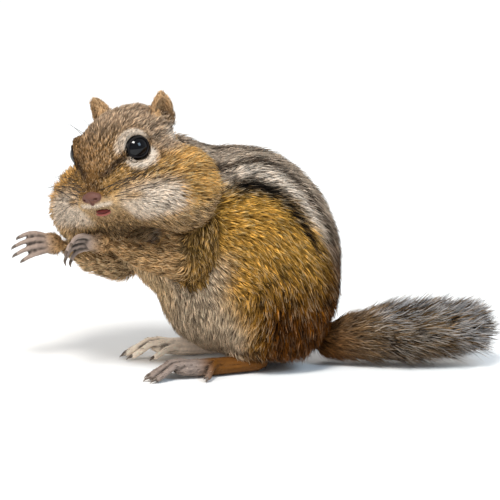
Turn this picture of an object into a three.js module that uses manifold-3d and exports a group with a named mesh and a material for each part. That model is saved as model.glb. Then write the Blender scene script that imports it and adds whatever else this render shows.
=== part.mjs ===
// A life-size chipmunk with full cheek pouches, sitting hunched on its hind feet.
// Millimetres, +Z up. The body faces -X, and its left side is -Y. The head is turned to its left.
import * as THREE from "three";
import { mergeVertices } from "three/addons/utils/BufferGeometryUtils.js";
import Module from "manifold-3d";

const wasm = await Module();
wasm.setup();

// Driving dimensions
const GAP = 0.3; // clear space between neighbouring pieces
const FINE = 0.05; // facets that change a surface by less than this are merged
const BIG = 200; // side of the blocks that trim a piece at a plane
const HEAD_AT = [-49.3, -12, 71.2]; // the point midway between the eyes
const HEAD_TURN = 45; // degrees that the face is turned to the animal's left
const HEAD_DROP = 10; // degrees that the nose points down
const HEAD_TILT = 13.5; // degrees that the left eye is raised
const EYE = { radius: 4.4, at: [0.7, 8.9, 0.2] };
const LID = { ring: 4.1, thick: 0.6, forward: 3.0 };
const NOSE = [17.6, 0, -9.4];
const MOUTH = [13.2, 0, -15.0];
const EAR = { at: [-15.4, 10.8, 4.0], width: 8.6, height: 12.2, deep: 6.0, wall: 1.1 };
const EAR_TURNS = { left: [-15, -12, -36], right: [-5, -14, 50] };
const FOOT = { length: 36, heel: [-3, 11, 0], turnOut: 6 };
const TAIL_LOCKS = { rings: 9, round: 8, length: 16.5, width: 6.6, lift: 33 };

const vec = (p) => new THREE.Vector3(p[0], p[1], p[2]);
const mirrored = (p, side) => [p[0], p[1] * side, p[2]];
const degrees = THREE.MathUtils.degToRad;
const SIDES = { left: -1, right: 1 };

// Frames
function frameOf(at, turns) {
  const turn = new THREE.Euler(...turns.map(degrees), "ZYX");
  return new THREE.Matrix4().makeRotationFromEuler(turn).setPosition(vec(at));
}

// In the head's own frame +X is forward, +Y is the animal's left and +Z is up.
const headFrame = frameOf(HEAD_AT, [HEAD_TILT, HEAD_DROP, 180 + HEAD_TURN]);

// Solids
function solid(geometry) {
  const bare = geometry.clone();
  bare.deleteAttribute("normal");
  bare.deleteAttribute("uv");
  const merged = mergeVertices(bare, 1e-4);
  return new wasm.Manifold(
    new wasm.Mesh({
      numProp: 3,
      vertProperties: merged.attributes.position.array,
      triVerts: new Uint32Array(merged.index.array),
    }),
  );
}

const moved = (shape, frame) => shape.transform(frame.elements);
const joined = (shapes) => wasm.Manifold.union(shapes);

/** The largest closed surface of a solid. */
function largest(shape) {
  return shape.decompose().sort((a, b) => b.volume() - a.volume())[0];
}

/** An ellipsoid with the given centre, half-widths and turns about X, Y and Z. */
function ellipsoid(at, radii, turns = [0, 0, 0], rows = 14) {
  const ball = new THREE.SphereGeometry(1, rows * 2, rows);
  ball.scale(...radii);
  return moved(solid(ball), frameOf(at, turns));
}

/** All the space on the far side of a plane through a point. */
function beyond(at, normal) {
  const block = new THREE.BoxGeometry(BIG, BIG, BIG).translate(0, 0, BIG / 2);
  const turn = new THREE.Quaternion().setFromUnitVectors(vec([0, 0, 1]), vec(normal).normalize());
  block.applyQuaternion(turn);
  return solid(block.translate(...at));
}

/** A rounded limb along a smooth curve. Widths are half-widths, spread evenly along the curve. */
function limb(points, widths, { sides = 10, steps = 8, flat = 1, caps = 3, grow = 0, up = null } = {}) {
  const curve = new THREE.CatmullRomCurve3(points.map(vec));
  const size = new THREE.CatmullRomCurve3(widths.map((w, i) => vec([i, w, 0])));
  const frames = curve.computeFrenetFrames(steps * 2, false);
  const tube = new THREE.CapsuleGeometry(1, steps, caps, sides, steps);
  const place = tube.attributes.position;
  for (let i = 0; i < place.count; i++) {
    const [x, y, z] = [place.getX(i), place.getY(i) + steps / 2, place.getZ(i)];
    const along = THREE.MathUtils.clamp(y, 0, steps);
    const share = along / steps;
    const tangent = curve.getTangent(share);
    const ref = up ? vec(up) : frames.binormals[Math.round(share * steps * 2)];
    const side = new THREE.Vector3().crossVectors(ref, tangent).normalize();
    const top = new THREE.Vector3().crossVectors(tangent, side).normalize();
    const width = Math.max(size.getPoint(share).y, 0.05) + grow;
    const at = curve
      .getPoint(share)
      .addScaledVector(tangent, (y - along) * width)
      .addScaledVector(side, x * width)
      .addScaledVector(top, -z * (width * flat + grow * (1 - flat)));
    place.setXYZ(i, at.x, at.y, at.z);
  }
  return solid(tube);
}

// Blended masses. Each mass is a distance from its own ellipsoid, and a field blends a list of them.
function mass(at, radii, turns = [0, 0, 0], blend = 8) {
  return { inverse: frameOf(at, turns).invert(), radii: vec(radii), blend };
}

function distanceTo({ inverse, radii }, point) {
  const q = point.clone().applyMatrix4(inverse);
  const near = q.clone().divide(radii).length();
  const slope = q.clone().divide(radii).divide(radii).length();
  return slope < 1e-9 ? -Math.min(radii.x, radii.y, radii.z) : (near * (near - 1)) / slope;
}

function field(masses) {
  return (point) => {
    let d = Infinity;
    for (const m of masses) {
      const e = distanceTo(m, point);
      const h = Math.max(m.blend - Math.abs(d - e), 0) / m.blend;
      d = d === Infinity ? e : Math.min(d, e) - (h * h * m.blend) / 4;
    }
    return d;
  };
}

/** The surface of a field, met by rays from a centre. Pull crowds the rays towards a direction. */
function surfaceOf(distance, centre, detail, { pull = [0, 0, 0], reach = 70, grow = 0 } = {}) {
  const ball = new THREE.IcosahedronGeometry(1, detail);
  ball.deleteAttribute("normal");
  ball.deleteAttribute("uv");
  const shape = mergeVertices(ball, 1e-4);
  const place = shape.attributes.position;
  const from = vec(centre);
  for (let i = 0; i < place.count; i++) {
    const ray = new THREE.Vector3().fromBufferAttribute(place, i).add(vec(pull)).normalize();
    const at = (r) => from.clone().addScaledVector(ray, r);
    let outside = reach;
    let inside = reach;
    for (let d = 1; d > 0 && inside > 0; inside -= Math.max(0.5 * d, 0.15)) {
      outside = inside;
      d = distance(at(inside)) - grow;
    }
    inside = Math.max(0.1, outside - 0.01);
    outside += 4;
    while (distance(at(inside)) - grow > 0 && inside > 0.2) inside -= 0.2;
    for (let step = 0; step < 24; step++) {
      const middle = (inside + outside) / 2;
      if (distance(at(middle)) - grow > 0) outside = middle;
      else inside = middle;
    }
    place.setXYZ(i, ...at(inside).toArray());
  }
  return solid(shape);
}

// Head, in its own frame
const headMasses = [
  mass([-10, 0, -1.0], [15.5, 13.1, 10.9], [0, 0, 0]), // skull
  mass([-0.6, 0, -1.4], [11, 9.8, 8.8], [0, 25, 0], 6), // forehead
  mass([6, 0, -6], [9.5, 7.2, 6.6], [0, 32, 0], 6), // bridge of the nose
  mass([11.5, 0, -9.2], [6.2, 4.6, 4.4], [0, 20, 0], 4), // tip of the muzzle
  mass([11.8, 4.2, -11.2], [4.6, 4.0, 3.7], [0, 0, 14], 2), // whisker pads
  mass([11.8, -4.2, -11.2], [4.6, 4.0, 3.7], [0, 0, -14], 2),
  mass([8, 0, -16], [6.5, 4.6, 3.6], [0, -8, 0], 3), // lower jaw
  mass([-6, 14.6, -15.8], [14, 12.6, 13], [0, 0, 14], 6), // left pouch
  mass([-6, -15.5, -18], [14, 13, 13.2], [0, 0, -14], 6), // right pouch
  mass([2.5, 9.5, -13.5], [9, 6.5, 8], [0, 10, 10], 6), // cheeks
  mass([2.5, -9.5, -13.5], [9, 6.5, 8], [0, 10, -10], 6),
  mass([-8, 0, -17], [13, 13, 9.5], [0, 0, 0], 6), // throat
  mass([-1.1, 7.0, 0.2], [6.0, 4.3, 5.3], [0, 0, 8], 4), // brow and orbit
  mass([-1.1, -7.0, 0.2], [6.0, 4.3, 5.3], [0, 0, -8], 4),
];
const headField = field(headMasses);
const HEAD_CENTRE = [0, 0, -5];

const eyeAt = (side) => mirrored(EYE.at, side);
const eyeLine = (side) => [0.46, 0.88 * side, 0.12];

function lids(side) {
  const ring = new THREE.TorusGeometry(LID.ring, LID.thick, 5, 18).scale(1.08, 1, 1);
  const line = vec(eyeLine(side)).normalize();
  ring.applyQuaternion(new THREE.Quaternion().setFromUnitVectors(vec([0, 0, 1]), line));
  const at = vec(eyeAt(side)).addScaledVector(line, LID.forward);
  return solid(ring.translate(...at.toArray()));
}

function eye(side, grow = 0) {
  const ball = new THREE.IcosahedronGeometry(EYE.radius + grow, 3).translate(...eyeAt(side));
  return solid(ball);
}

function nose() {
  const [x, , z] = NOSE;
  return joined([
    ellipsoid([x - 1.2, 0, z + 0.2], [1.9, 2.3, 1.7], [0, 20, 0], 6),
    ellipsoid([x - 1.5, 1.5, z - 0.2], [1.7, 1.3, 1.3], [0, 0, 25], 5),
    ellipsoid([x - 1.5, -1.5, z - 0.2], [1.7, 1.3, 1.3], [0, 0, -25], 5),
  ]);
}

function faceGrooves() {
  const [x, , z] = MOUTH;
  const lipLine = (side) => limb(
    [[x + 1.4, 0, z + 1.0], [x + 0.6, 1.8 * side, z + 0.2], [x - 2.2, 4.0 * side, z - 0.2], [x - 5, 5.2 * side, z + 1.0]],
    [0.5, 0.5, 0.45, 0.25], { sides: 6, steps: 5, caps: 1 },
  );
  const nostril = (side) => ellipsoid([NOSE[0] - 0.3, 1.45 * side, NOSE[2]], [0.9, 0.42, 0.55], [0, 0, 50 * side], 5);
  const cleft = limb(
    [[x + 4, 0, z + 3.9], [x + 2.9, 0, z + 2.2], [x + 1.6, 0, z + 0.6]],
    [0.3, 0.35, 0.45], { sides: 6, steps: 3, caps: 1 },
  );
  const gape = ellipsoid([x + 0.4, 0.7, z - 0.1], [1.9, 2.0, 0.8], [0, 0, 0], 6);
  return joined([lipLine(1), lipLine(-1), nostril(1), nostril(-1), cleft, gape]);
}

/** The cup of an ear: a tall pointed shell, open to the side and front. */
function earCup(side, turns) {
  const { width, height, deep, wall } = EAR;
  const pinch = (shape) => shape.warp((p) => {
    const narrow = 1 - 0.3 * Math.max(0, p[2] / height);
    p[0] *= narrow;
    p[1] *= narrow;
  });
  const outer = pinch(ellipsoid([0, 0, 0], [width / 2, deep / 2, height * 0.66], [0, 0, 0], 7));
  const inner = pinch(ellipsoid([0, wall + 1.3, 0.4], [width / 2 - wall, deep / 2, height * 0.66 - wall], [0, 0, 0], 7));
  const turn = frameOf(mirrored(EAR.at, side), turns);
  const open = frameOf([0, 0, 0], [0, 0, side > 0 ? 0 : 180]);
  return moved(outer.subtract(inner), turn.multiply(open));
}

// Body, in the part's own frame
const bodyMasses = [
  mass([3.8, 0, 27.3], [20.8, 20, 28], [0, 6, 0], 8), // pelvis
  mass([-5.8, 0, 42.8], [22.6, 19.5, 24.4], [0, 0, 0], 10), // back
  mass([-22, 0, 49], [19, 16.5, 18], [0, 0, 0], 10), // shoulders
  mass([-12, 0, 24], [20, 18, 20], [0, 0, 0], 10), // belly
  mass([-31, 0, 40], [12, 12, 14], [0, 0, 0], 8), // chest
  mass([2.2, 14, 22.5], [17.6, 10.5, 20], [0, 8, 6], 5), // haunches
  mass([2.2, -14, 22.5], [17.6, 10.5, 20], [0, 8, -6], 5),
  mass([-25, -13.5, 44], [8.6, 7, 13], [0, 10, 0], 5), // left upper arm
  mass([-30, 12, 42], [8.6, 7, 14], [0, 32, 0], 5), // right upper arm
  mass([-32, 0, 64], [13, 11, 11], [0, 0, 0], 8), // neck
];
const bodyField = field(bodyMasses);
const BODY_CENTRE = [-8, 0, 36];
const NECK_CUT = { at: [-27, 0, 60], normal: [-0.8, -0.1, 0.6] };
const haunchCut = (side, grow) => ellipsoid([2, 17.5 * side, 21], [20 + grow, 10.5 + grow, 22 + grow], [0, 0, 0], 10);
const armCut = ({ upper, lean }, grow) => ellipsoid(upper, [9 + grow, 8.5 + grow, 15 + grow], [0, lean, 0], 8);

// Forelegs: elbow, wrist and hand
const ARMS = {
  left: { upper: [-26, -16.5, 42], lean: 10, elbow: [-27, -18, 37], wrist: [-47, -13.5, 41.5], palm: [-52, -11, 42.5], reach: [-1, 0.25, 0] },
  right: { upper: [-31, 15.5, 41], lean: 32, elbow: [-40, 14, 30], wrist: [-57, 10.5, 36.5], palm: [-62, 9, 38.5], reach: [-1, -0.25, 0.1] },
};

function forearm({ elbow, wrist }, grow = 0) {
  const middle = elbow.map((v, i) => (v + wrist[i]) / 2 + (i === 2 ? -1 : 0));
  return limb([elbow, middle, wrist], [6.2, 5.2, 3.2], { sides: 12, steps: 6, grow });
}

const FINGERS = [
  { side: -2.7, long: 6.6 },
  { side: -1.0, long: 8.2 },
  { side: 0.9, long: 8.0 },
  { side: 2.7, long: 6.4 },
];

/** A hand in its own frame: +X towards the fingertips, +Z out of its back. */
function hand() {
  const palm = ellipsoid([0.5, 0, 0], [4.6, 3.7, 2.2], [0, 0, 0], 6);
  const fingers = FINGERS.flatMap(({ side, long }) => {
    const spread = side * 0.2;
    const joint = (out, down) => [3 + long * out, side + spread * out * 2, -long * down];
    const bone = limb([[1, side * 0.7, 0], joint(0.3, -0.1), joint(0.75, 0.1), joint(0.92, 0.52)], [1.15, 1.15, 1.05, 0.9], { sides: 6, steps: 5, caps: 1 });
    const claw = limb([joint(0.9, 0.46), joint(0.98, 0.72), joint(0.9, 0.95)], [0.6, 0.42, 0.12], { sides: 4, steps: 2, caps: 1 });
    return [bone, claw];
  });
  const thumb = ellipsoid([0.2, 3.1, -1.5], [1.5, 0.9, 0.9], [0, 0, 30], 5);
  return largest(joined([palm, thumb, ...fingers]));
}

// Hind feet, in their own frame: +X towards the toes, heel at the origin, +Y the inner side
const TOES = [
  { root: [21, 3.0, 2.6], tip: [27.5, 6.0, 1.1], arch: 1.0, wide: 1.25 },
  { root: [24.5, 1.9, 3.2], tip: [33.6, 3.4, 1.1], arch: 2.2, wide: 1.25 },
  { root: [25, 0.1, 3.4], tip: [35.0, 0.2, 1.1], arch: 2.4, wide: 1.3 },
  { root: [24.5, -1.7, 3.2], tip: [34.0, -2.6, 1.1], arch: 2.2, wide: 1.25 },
  { root: [15.5, -2.4, 3.2], tip: [19.4, -6.9, 1.1], arch: 1.2, wide: 1.3 },
];

function foot() {
  const sole = limb([[1, 0, 2.9], [10, 0, 2.6], [18, 0, 2.7], [25, 0, 3.2]], [3.8, 3.5, 3.7, 3.3], { sides: 10, steps: 5, caps: 2, flat: 0.78, up: [0, 0, 1] });
  const toes = TOES.flatMap(({ root, tip, arch, wide }) => {
    const at = (share, lift) => root.map((v, i) => v + (tip[i] - v) * share + (i === 2 ? lift : 0));
    const toe = limb([at(-0.35, 0), at(0.3, arch), at(0.7, arch * 0.4), at(1, 0)], [1.4, wide, wide * 1.02, wide * 0.95], { sides: 6, steps: 5, caps: 1 });
    const claw = limb([at(0.98, 0.2), at(1.14, 0.15), at(1.26, -0.55)], [0.62, 0.42, 0.12], { sides: 4, steps: 2, caps: 1 });
    return [toe, claw];
  });
  return largest(joined([sole, ...toes]).subtract(beyond([0, 0, 0], [0, 0, -1])));
}

// Tail: a furred core that carries rings of overlapping locks
const TAIL_PATH = [[11, -2, 8.8], [22, -8, 8.6], [36, -12.8, 9.9], [49, -17, 10.9], [59, -20.2, 11.8]];
const TAIL_CORE = [6.8, 5.8, 5.4, 5.4, 3.4];

/** One flat tapered lock from a root, leaning out from the tail and bending back along it. */
function lock(root, along, out, long, wide) {
  const lean = degrees(TAIL_LOCKS.lift);
  const at = (share) => {
    const angle = lean * (1.3 - 0.6 * share);
    return vec(root)
      .addScaledVector(along, long * share * Math.cos(angle))
      .addScaledVector(out, long * share * Math.sin(angle))
      .toArray();
  };
  return limb([at(0), at(0.5), at(1)], [wide / 2.6, wide / 2, 0.5], { sides: 4, steps: 2, flat: 0.3, caps: 1, up: out.toArray() });
}

function tail() {
  const core = limb(TAIL_PATH, TAIL_CORE, { sides: 12, steps: 12 });
  const curve = new THREE.CatmullRomCurve3(TAIL_PATH.map(vec));
  const { rings, round, length, width } = TAIL_LOCKS;
  const locks = [];
  for (let ring = 0; ring < rings; ring++) {
    const share = 0.16 + (0.8 * ring) / (rings - 1);
    const along = curve.getTangent(share);
    const side = new THREE.Vector3().crossVectors(vec([0, 0, 1]), along).normalize();
    const top = new THREE.Vector3().crossVectors(along, side).normalize();
    const grown = 0.62 + 0.38 * Math.sin(Math.PI * Math.min(1, share * 1.25));
    for (let k = 0; k < round; k++) {
      const angle = ((k + (ring % 2) / 2) / round) * 2 * Math.PI;
      const out = side.clone().multiplyScalar(Math.cos(angle)).addScaledVector(top, Math.sin(angle));
      const root = curve.getPoint(share).addScaledVector(out, 3.4).toArray();
      const uneven = 1 + 0.1 * Math.sin(7 * k + 3 * ring);
      locks.push(lock(root, along, out, length * grown * uneven, width));
    }
  }
  return largest(joined([core, ...locks]));
}

// Cutting the whole body into its parts
const floor = beyond([0, 0, 0], [0, 0, -1]);
const neckSide = (grow) => beyond(NECK_CUT.at.map((v, i) => v - NECK_CUT.normal[i] * grow), NECK_CUT.normal);
const parts = {};
const put = (name, shape, material) => {
  parts[name] = { shape: largest(largest(shape).asOriginal().simplify(FINE)), material };
};

const MATERIALS = {
  fur: new THREE.MeshStandardMaterial({ color: 0x9a7440, roughness: 0.95, metalness: 0 }),
  paleFur: new THREE.MeshStandardMaterial({ color: 0xc9a878, roughness: 0.95, metalness: 0 }),
  bareSkin: new THREE.MeshStandardMaterial({ color: 0x9c8574, roughness: 0.7, metalness: 0 }),
  eyes: new THREE.MeshStandardMaterial({ color: 0x06070c, roughness: 0.08, metalness: 0 }),
  tailFur: new THREE.MeshStandardMaterial({ color: 0x7d6a55, roughness: 0.95, metalness: 0 }),
};

const wholeHead = surfaceOf(headField, HEAD_CENTRE, 8, { pull: [0.22, 0, -0.05] });
const grownHead = moved(surfaceOf(headField, HEAD_CENTRE, 6, { grow: GAP + 0.2 }), headFrame);
const pouchCut = (side, grow) => ellipsoid([-7, 18.5 * side, side > 0 ? -16.5 : -18.5], [15.5 + grow, 12.5 + grow, 15 + grow], [0, 0, 14 * side], 10);
const ears = { left: earCup(1, EAR_TURNS.left), right: earCup(-1, EAR_TURNS.right) };
const eyes = { left: eye(1), right: eye(-1) };

let face = joined([wholeHead, lids(1), lids(-1), nose()]);
face = face.subtract(joined([eye(1, GAP), eye(-1, GAP), faceGrooves()]));
put("head", moved(face.subtract(joined([pouchCut(1, GAP), pouchCut(-1, GAP)])), headFrame), MATERIALS.fur);
const grownFace = surfaceOf(headField, HEAD_CENTRE, 6, { grow: GAP + 0.1 });
for (const [name, side] of [["left", 1], ["right", -1]]) {
  put(`cheek_pouch_${name}`, moved(face.intersect(pouchCut(side, 0)), headFrame), MATERIALS.paleFur);
  put(`ear_${name}`, moved(ears[name].subtract(grownFace), headFrame), MATERIALS.fur);
  put(`eye_${name}`, moved(eyes[name], headFrame), MATERIALS.eyes);
}

const wholeBody = surfaceOf(bodyField, BODY_CENTRE, 7).subtract(floor);
const handFrame = ({ palm, reach }, roll) => {
  const x = vec(reach).normalize();
  const y = new THREE.Vector3().crossVectors(vec([0, 0, 1]), x).normalize();
  const z = new THREE.Vector3().crossVectors(x, y);
  const basis = new THREE.Matrix4().makeBasis(x, y, z).setPosition(vec(palm));
  return basis.multiply(new THREE.Matrix4().makeRotationX(degrees(roll)));
};
let trunk = wholeBody.subtract(grownHead);
for (const [name, side] of Object.entries(SIDES)) {
  const arm = ARMS[name];
  const palmFrame = handFrame(arm, side < 0 ? 55 : -55);
  const paw = moved(side < 0 ? hand() : hand().mirror([0, 1, 0]), palmFrame);
  const fore = forearm(arm).subtract(grownHead);
  const wristCut = beyond(arm.palm.map((v, i) => v + (arm.wrist[i] - v) * 0.45), arm.palm.map((v, i) => v - arm.wrist[i]));
  const wristEdge = beyond(arm.palm.map((v, i) => v + (arm.wrist[i] - v) * 0.55), arm.palm.map((v, i) => v - arm.wrist[i]));
  put(`hand_${name}`, paw.subtract(grownHead).intersect(wristCut), MATERIALS.bareSkin);
  put(`forearm_${name}`, fore.subtract(wristEdge), MATERIALS.fur);
  put(`upper_arm_${name}`, wholeBody.intersect(armCut(arm, 0)).subtract(joined([grownHead, forearm(arm, GAP), neckSide(GAP)])), MATERIALS.fur);
  trunk = trunk.subtract(joined([armCut(arm, GAP), forearm(arm, GAP)]));

  const footFrame = frameOf(mirrored(FOOT.heel, side), [0, 0, 180 + FOOT.turnOut * -side]);
  const paws = moved(side < 0 ? foot().mirror([0, 1, 0]) : foot(), footFrame);
  put(`foot_${name}`, paws, MATERIALS.bareSkin);
  const grownFoot = moved(limb([[-1, 0, 2.4], [10, 0, 2.8], [26, 0, 2.8]], [4.2, 3.9, 3.9], { sides: 12, steps: 6, flat: 1, grow: GAP, up: [0, 0, 1] }), footFrame);
  put(`haunch_${name}`, wholeBody.intersect(haunchCut(side, 0)).subtract(grownFoot), MATERIALS.fur);
  trunk = trunk.subtract(joined([haunchCut(side, GAP), grownFoot]));
}
put("neck", trunk.intersect(neckSide(-GAP)), MATERIALS.fur);
put("torso", trunk.subtract(neckSide(0)), MATERIALS.fur);
const grownBody = surfaceOf(bodyField, BODY_CENTRE, 6, { grow: GAP + 0.15 });
put("tail", tail().subtract(joined([grownBody, floor])), MATERIALS.tailFur);

// The scene graph
const chipmunk = new THREE.Group();
chipmunk.name = "chipmunk";
for (const [name, { shape, material }] of Object.entries(parts)) {
  const { numProp, vertProperties, triVerts } = shape.getMesh();
  const geometry = new THREE.BufferGeometry();
  geometry.setAttribute("position", new THREE.BufferAttribute(vertProperties, numProp));
  geometry.setIndex(new THREE.BufferAttribute(triVerts, 1));
  const mesh = new THREE.Mesh(geometry, material);
  mesh.name = name;
  chipmunk.add(mesh);
}

// The origin is on the floor, under the middle of the whole animal.
const extent = new THREE.Box3().setFromObject(chipmunk, true);
const middle = extent.getCenter(new THREE.Vector3());
chipmunk.position.set(-middle.x, -middle.y, -extent.min.z);
chipmunk.updateMatrixWorld(true);

export default chipmunk;
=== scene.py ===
"""A life-size chipmunk with full cheek pouches, sitting on its hind feet with its head turned to one side.

The body faces -X and the animal's left side is -Y. Sizes are in millimetres, in the frame that the animal was
laid out in, and Layout turns them into metres in the shared frame. In the head's own frame X points ahead, Y
to the animal's left and Z up.
"""

import logging
import math
from dataclasses import dataclass, field
from enum import Enum
from typing import Callable, Optional, Sequence

import bpy
import numpy as np
from mathutils import Matrix, Vector
from mathutils.bvhtree import BVHTree
from mathutils.kdtree import KDTree


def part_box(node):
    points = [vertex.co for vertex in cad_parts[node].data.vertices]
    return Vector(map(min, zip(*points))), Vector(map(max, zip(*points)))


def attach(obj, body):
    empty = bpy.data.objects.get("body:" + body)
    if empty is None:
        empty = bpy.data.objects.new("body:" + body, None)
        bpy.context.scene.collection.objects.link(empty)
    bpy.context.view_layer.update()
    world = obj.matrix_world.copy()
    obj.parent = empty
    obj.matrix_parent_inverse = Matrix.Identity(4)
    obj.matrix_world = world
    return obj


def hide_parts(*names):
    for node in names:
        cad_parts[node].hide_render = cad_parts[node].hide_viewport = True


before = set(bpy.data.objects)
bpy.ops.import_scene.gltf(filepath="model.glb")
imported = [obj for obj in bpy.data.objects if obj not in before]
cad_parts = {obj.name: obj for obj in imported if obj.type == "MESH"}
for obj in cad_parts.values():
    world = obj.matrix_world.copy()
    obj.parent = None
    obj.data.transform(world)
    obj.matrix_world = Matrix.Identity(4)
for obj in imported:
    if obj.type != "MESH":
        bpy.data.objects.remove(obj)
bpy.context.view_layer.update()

LOG = logging.getLogger("chipmunk")
MM = 0.001
BODY = "root"
FUR_SLOT, TAIL_SLOT, PAW_SLOT, EYE_SLOT = "grey_brown_fur", "tail_fur", "paw_skin", "eye"
WAVES, WAVE_HEIGHT = 7, 3.2
Array = np.ndarray
Mesh = tuple[Array, list]


class Side(Enum):
    """The animal's own left and right, as the sign of the body's Y axis."""

    LEFT = -1
    RIGHT = 1

    @property
    def word(self) -> str:
        """The word used in node names."""
        return self.name.lower()

    @property
    def out(self) -> int:
        """The sign of this side in the head's frame, whose Y axis points to the animal's left."""
        return -self.value


class Region(Enum):
    """The parts of the coat, each with its own hair."""

    TRUNK = "trunk"
    HEAD = "head"
    ARMS = "arms"
    HANDS = "hands"
    FEET = "feet"
    EARS = "ears"
    TAIL = "tail"


FINE = (Region.HANDS, Region.FEET, Region.EARS)

REGION_NODES: dict[Region, tuple[str, ...]] = {
    Region.TRUNK: ("torso", "neck", "haunch_left", "haunch_right"),
    Region.HEAD: ("head", "cheek_pouch_left", "cheek_pouch_right"),
    Region.ARMS: ("upper_arm_left", "upper_arm_right", "forearm_left", "forearm_right"),
    Region.HANDS: ("hand_left", "hand_right"),
    Region.FEET: ("foot_left", "foot_right"),
    Region.EARS: ("ear_left", "ear_right"),
}

COAT_DEPTH: dict[Region, float] = {
    Region.TRUNK: 2.0,
    Region.HEAD: 0.9,
    Region.ARMS: 1.2,
    Region.HANDS: 0.25,
    Region.FEET: 0.22,
    Region.EARS: 0.08,
    Region.TAIL: 0.0,
}

SLOTS: dict[Region, str] = {
    Region.TRUNK: FUR_SLOT,
    Region.HEAD: FUR_SLOT,
    Region.ARMS: FUR_SLOT,
    Region.HANDS: PAW_SLOT,
    Region.FEET: PAW_SLOT,
    Region.EARS: FUR_SLOT,
    Region.TAIL: TAIL_SLOT,
}


# Helpers


def turn_about(axis: str, degrees: float) -> Array:
    """Gives the 3 by 3 matrix of a right-handed turn about "X", "Y" or "Z"."""
    return np.array(Matrix.Rotation(math.radians(degrees), 3, axis))


def unit(v: Array) -> Array:
    """Scales the vectors in the last axis to length one."""
    return v / np.maximum(np.linalg.norm(v, axis=-1, keepdims=True), 1e-12)


def ramp(low: float, high: float, x: Array) -> Array:
    """Rises smoothly from 0 at low to 1 at high."""
    t = np.clip((x - low) / (high - low), 0, 1)
    return t * t * (3 - 2 * t)


def bump(x: Array, width: float) -> Array:
    """Gives 1 at zero, falling smoothly to 0 at plus or minus width."""
    return 1 - ramp(0, width, np.abs(x))


def wander(points: Array, size: float, seed: int) -> Array:
    """Gives smooth noise made of a few waves.

    Args:
        points: Points in millimetres.
        size: Rough size of a patch.
        seed: Which noise.

    Returns:
        Numbers roughly from -1 to 1.
    """
    draw = np.random.default_rng(seed)
    total = np.zeros(len(points))
    for _ in range(WAVES):
        wave = unit(draw.normal(size=3)) * 2 * np.pi / (size * draw.uniform(0.7, 1.6))
        total += np.sin(points @ wave + draw.uniform(0, 6.28))
    return total / WAVE_HEIGHT


@dataclass(frozen=True)
class Layout:
    """Where the animal's own frame sits in the shared frame, and where the head's frame sits in it.

    Attributes:
        head_at: The point midway between the eyes.
        head_turn: Degrees that the face is turned to the animal's left.
        head_drop: Degrees that the nose points down.
        head_tilt: Degrees that the left eye is raised.
        eye_at: The left eye's middle in the head's frame.
        eye_line: Where the left eye looks, in the head's frame.
    """

    head_at: tuple[float, float, float] = (-49.3, -12.0, 71.2)
    head_turn: float = 45.0
    head_drop: float = 10.0
    head_tilt: float = 13.5
    eye_at: tuple[float, float, float] = (0.7, 8.9, 0.2)
    eye_line: tuple[float, float, float] = (0.46, 0.88, 0.12)

    @property
    def head_axes(self) -> Array:
        """The head's forward, left and up axes, as columns."""
        turned = turn_about("Z", 180 + self.head_turn) @ turn_about("Y", self.head_drop)
        return turned @ turn_about("X", self.head_tilt)

    def from_head(self, points: Sequence) -> Array:
        """Moves points from the head's frame to the animal's frame."""
        return np.asarray(points, float) @ self.head_axes.T + np.array(self.head_at)

    def to_head(self, points: Array) -> Array:
        """Moves points from the animal's frame to the head's frame."""
        return (points - np.array(self.head_at)) @ self.head_axes

    def eye_axes(self, sign: int) -> Array:
        """Gives one eye's own axes in the head's frame.

        Args:
            sign: 1 for the left eye, -1 for the right.

        Returns:
            Rows that point ahead, upwards and along the eye's line.
        """
        line = unit(np.array(self.eye_line))
        top = unit(np.array([0, 0, 1.0]) - line * line[2])
        ahead = np.cross(line, top)
        return np.array([ahead, top, line]) * np.array([1, sign, 1])

    def eye_view(self, h: Array) -> tuple[Array, Array, Array]:
        """Sees points of the head from straight in front of the nearer eye.

        Args:
            h: Points in the head's frame.

        Returns:
            Millimetres ahead of, above and out from the eye's middle.
        """
        side = np.abs(h) * [0, 1, 0] + h * [1, 0, 1] - np.array(self.eye_at)
        seen = side @ self.eye_axes(1).T
        return seen[:, 0], seen[:, 1], seen[:, 2]

    @property
    def origin(self) -> Array:
        """The animal's own origin in the shared frame, in metres, read off the left eye."""
        low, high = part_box("eye_left")
        return (np.array(low) + np.array(high)) / 2 - self.from_head(self.eye_at) * MM

    def to_scene(self, points: Sequence) -> Array:
        """Turns the animal's millimetres into the shared frame's metres."""
        return np.asarray(points, float) * MM + self.origin

    def from_scene(self, points: Array) -> Array:
        """Turns the shared frame's metres into the animal's millimetres."""
        return (points - self.origin) / MM

    def head_to_scene(self, points: Sequence) -> Array:
        """Turns points of the head's frame into the shared frame's metres."""
        return self.to_scene(self.from_head(points))

    def scene_to_head(self, points: Array) -> Array:
        """Turns the shared frame's metres into points of the head's frame."""
        return self.to_head(self.from_scene(points))


def mesh_object(name: str, verts: Array, faces: Sequence) -> bpy.types.Object:
    """Makes a mesh object at the origin from points in metres.

    Args:
        name: The object's name.
        verts: Points in metres.
        faces: Lists of point numbers.

    Returns:
        The linked object.
    """
    mesh = bpy.data.meshes.new(name)
    mesh.from_pydata([tuple(v) for v in verts], [], [tuple(f) for f in faces])
    mesh.update()
    made = bpy.data.objects.new(name, mesh)
    bpy.context.scene.collection.objects.link(made)
    return made


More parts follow.
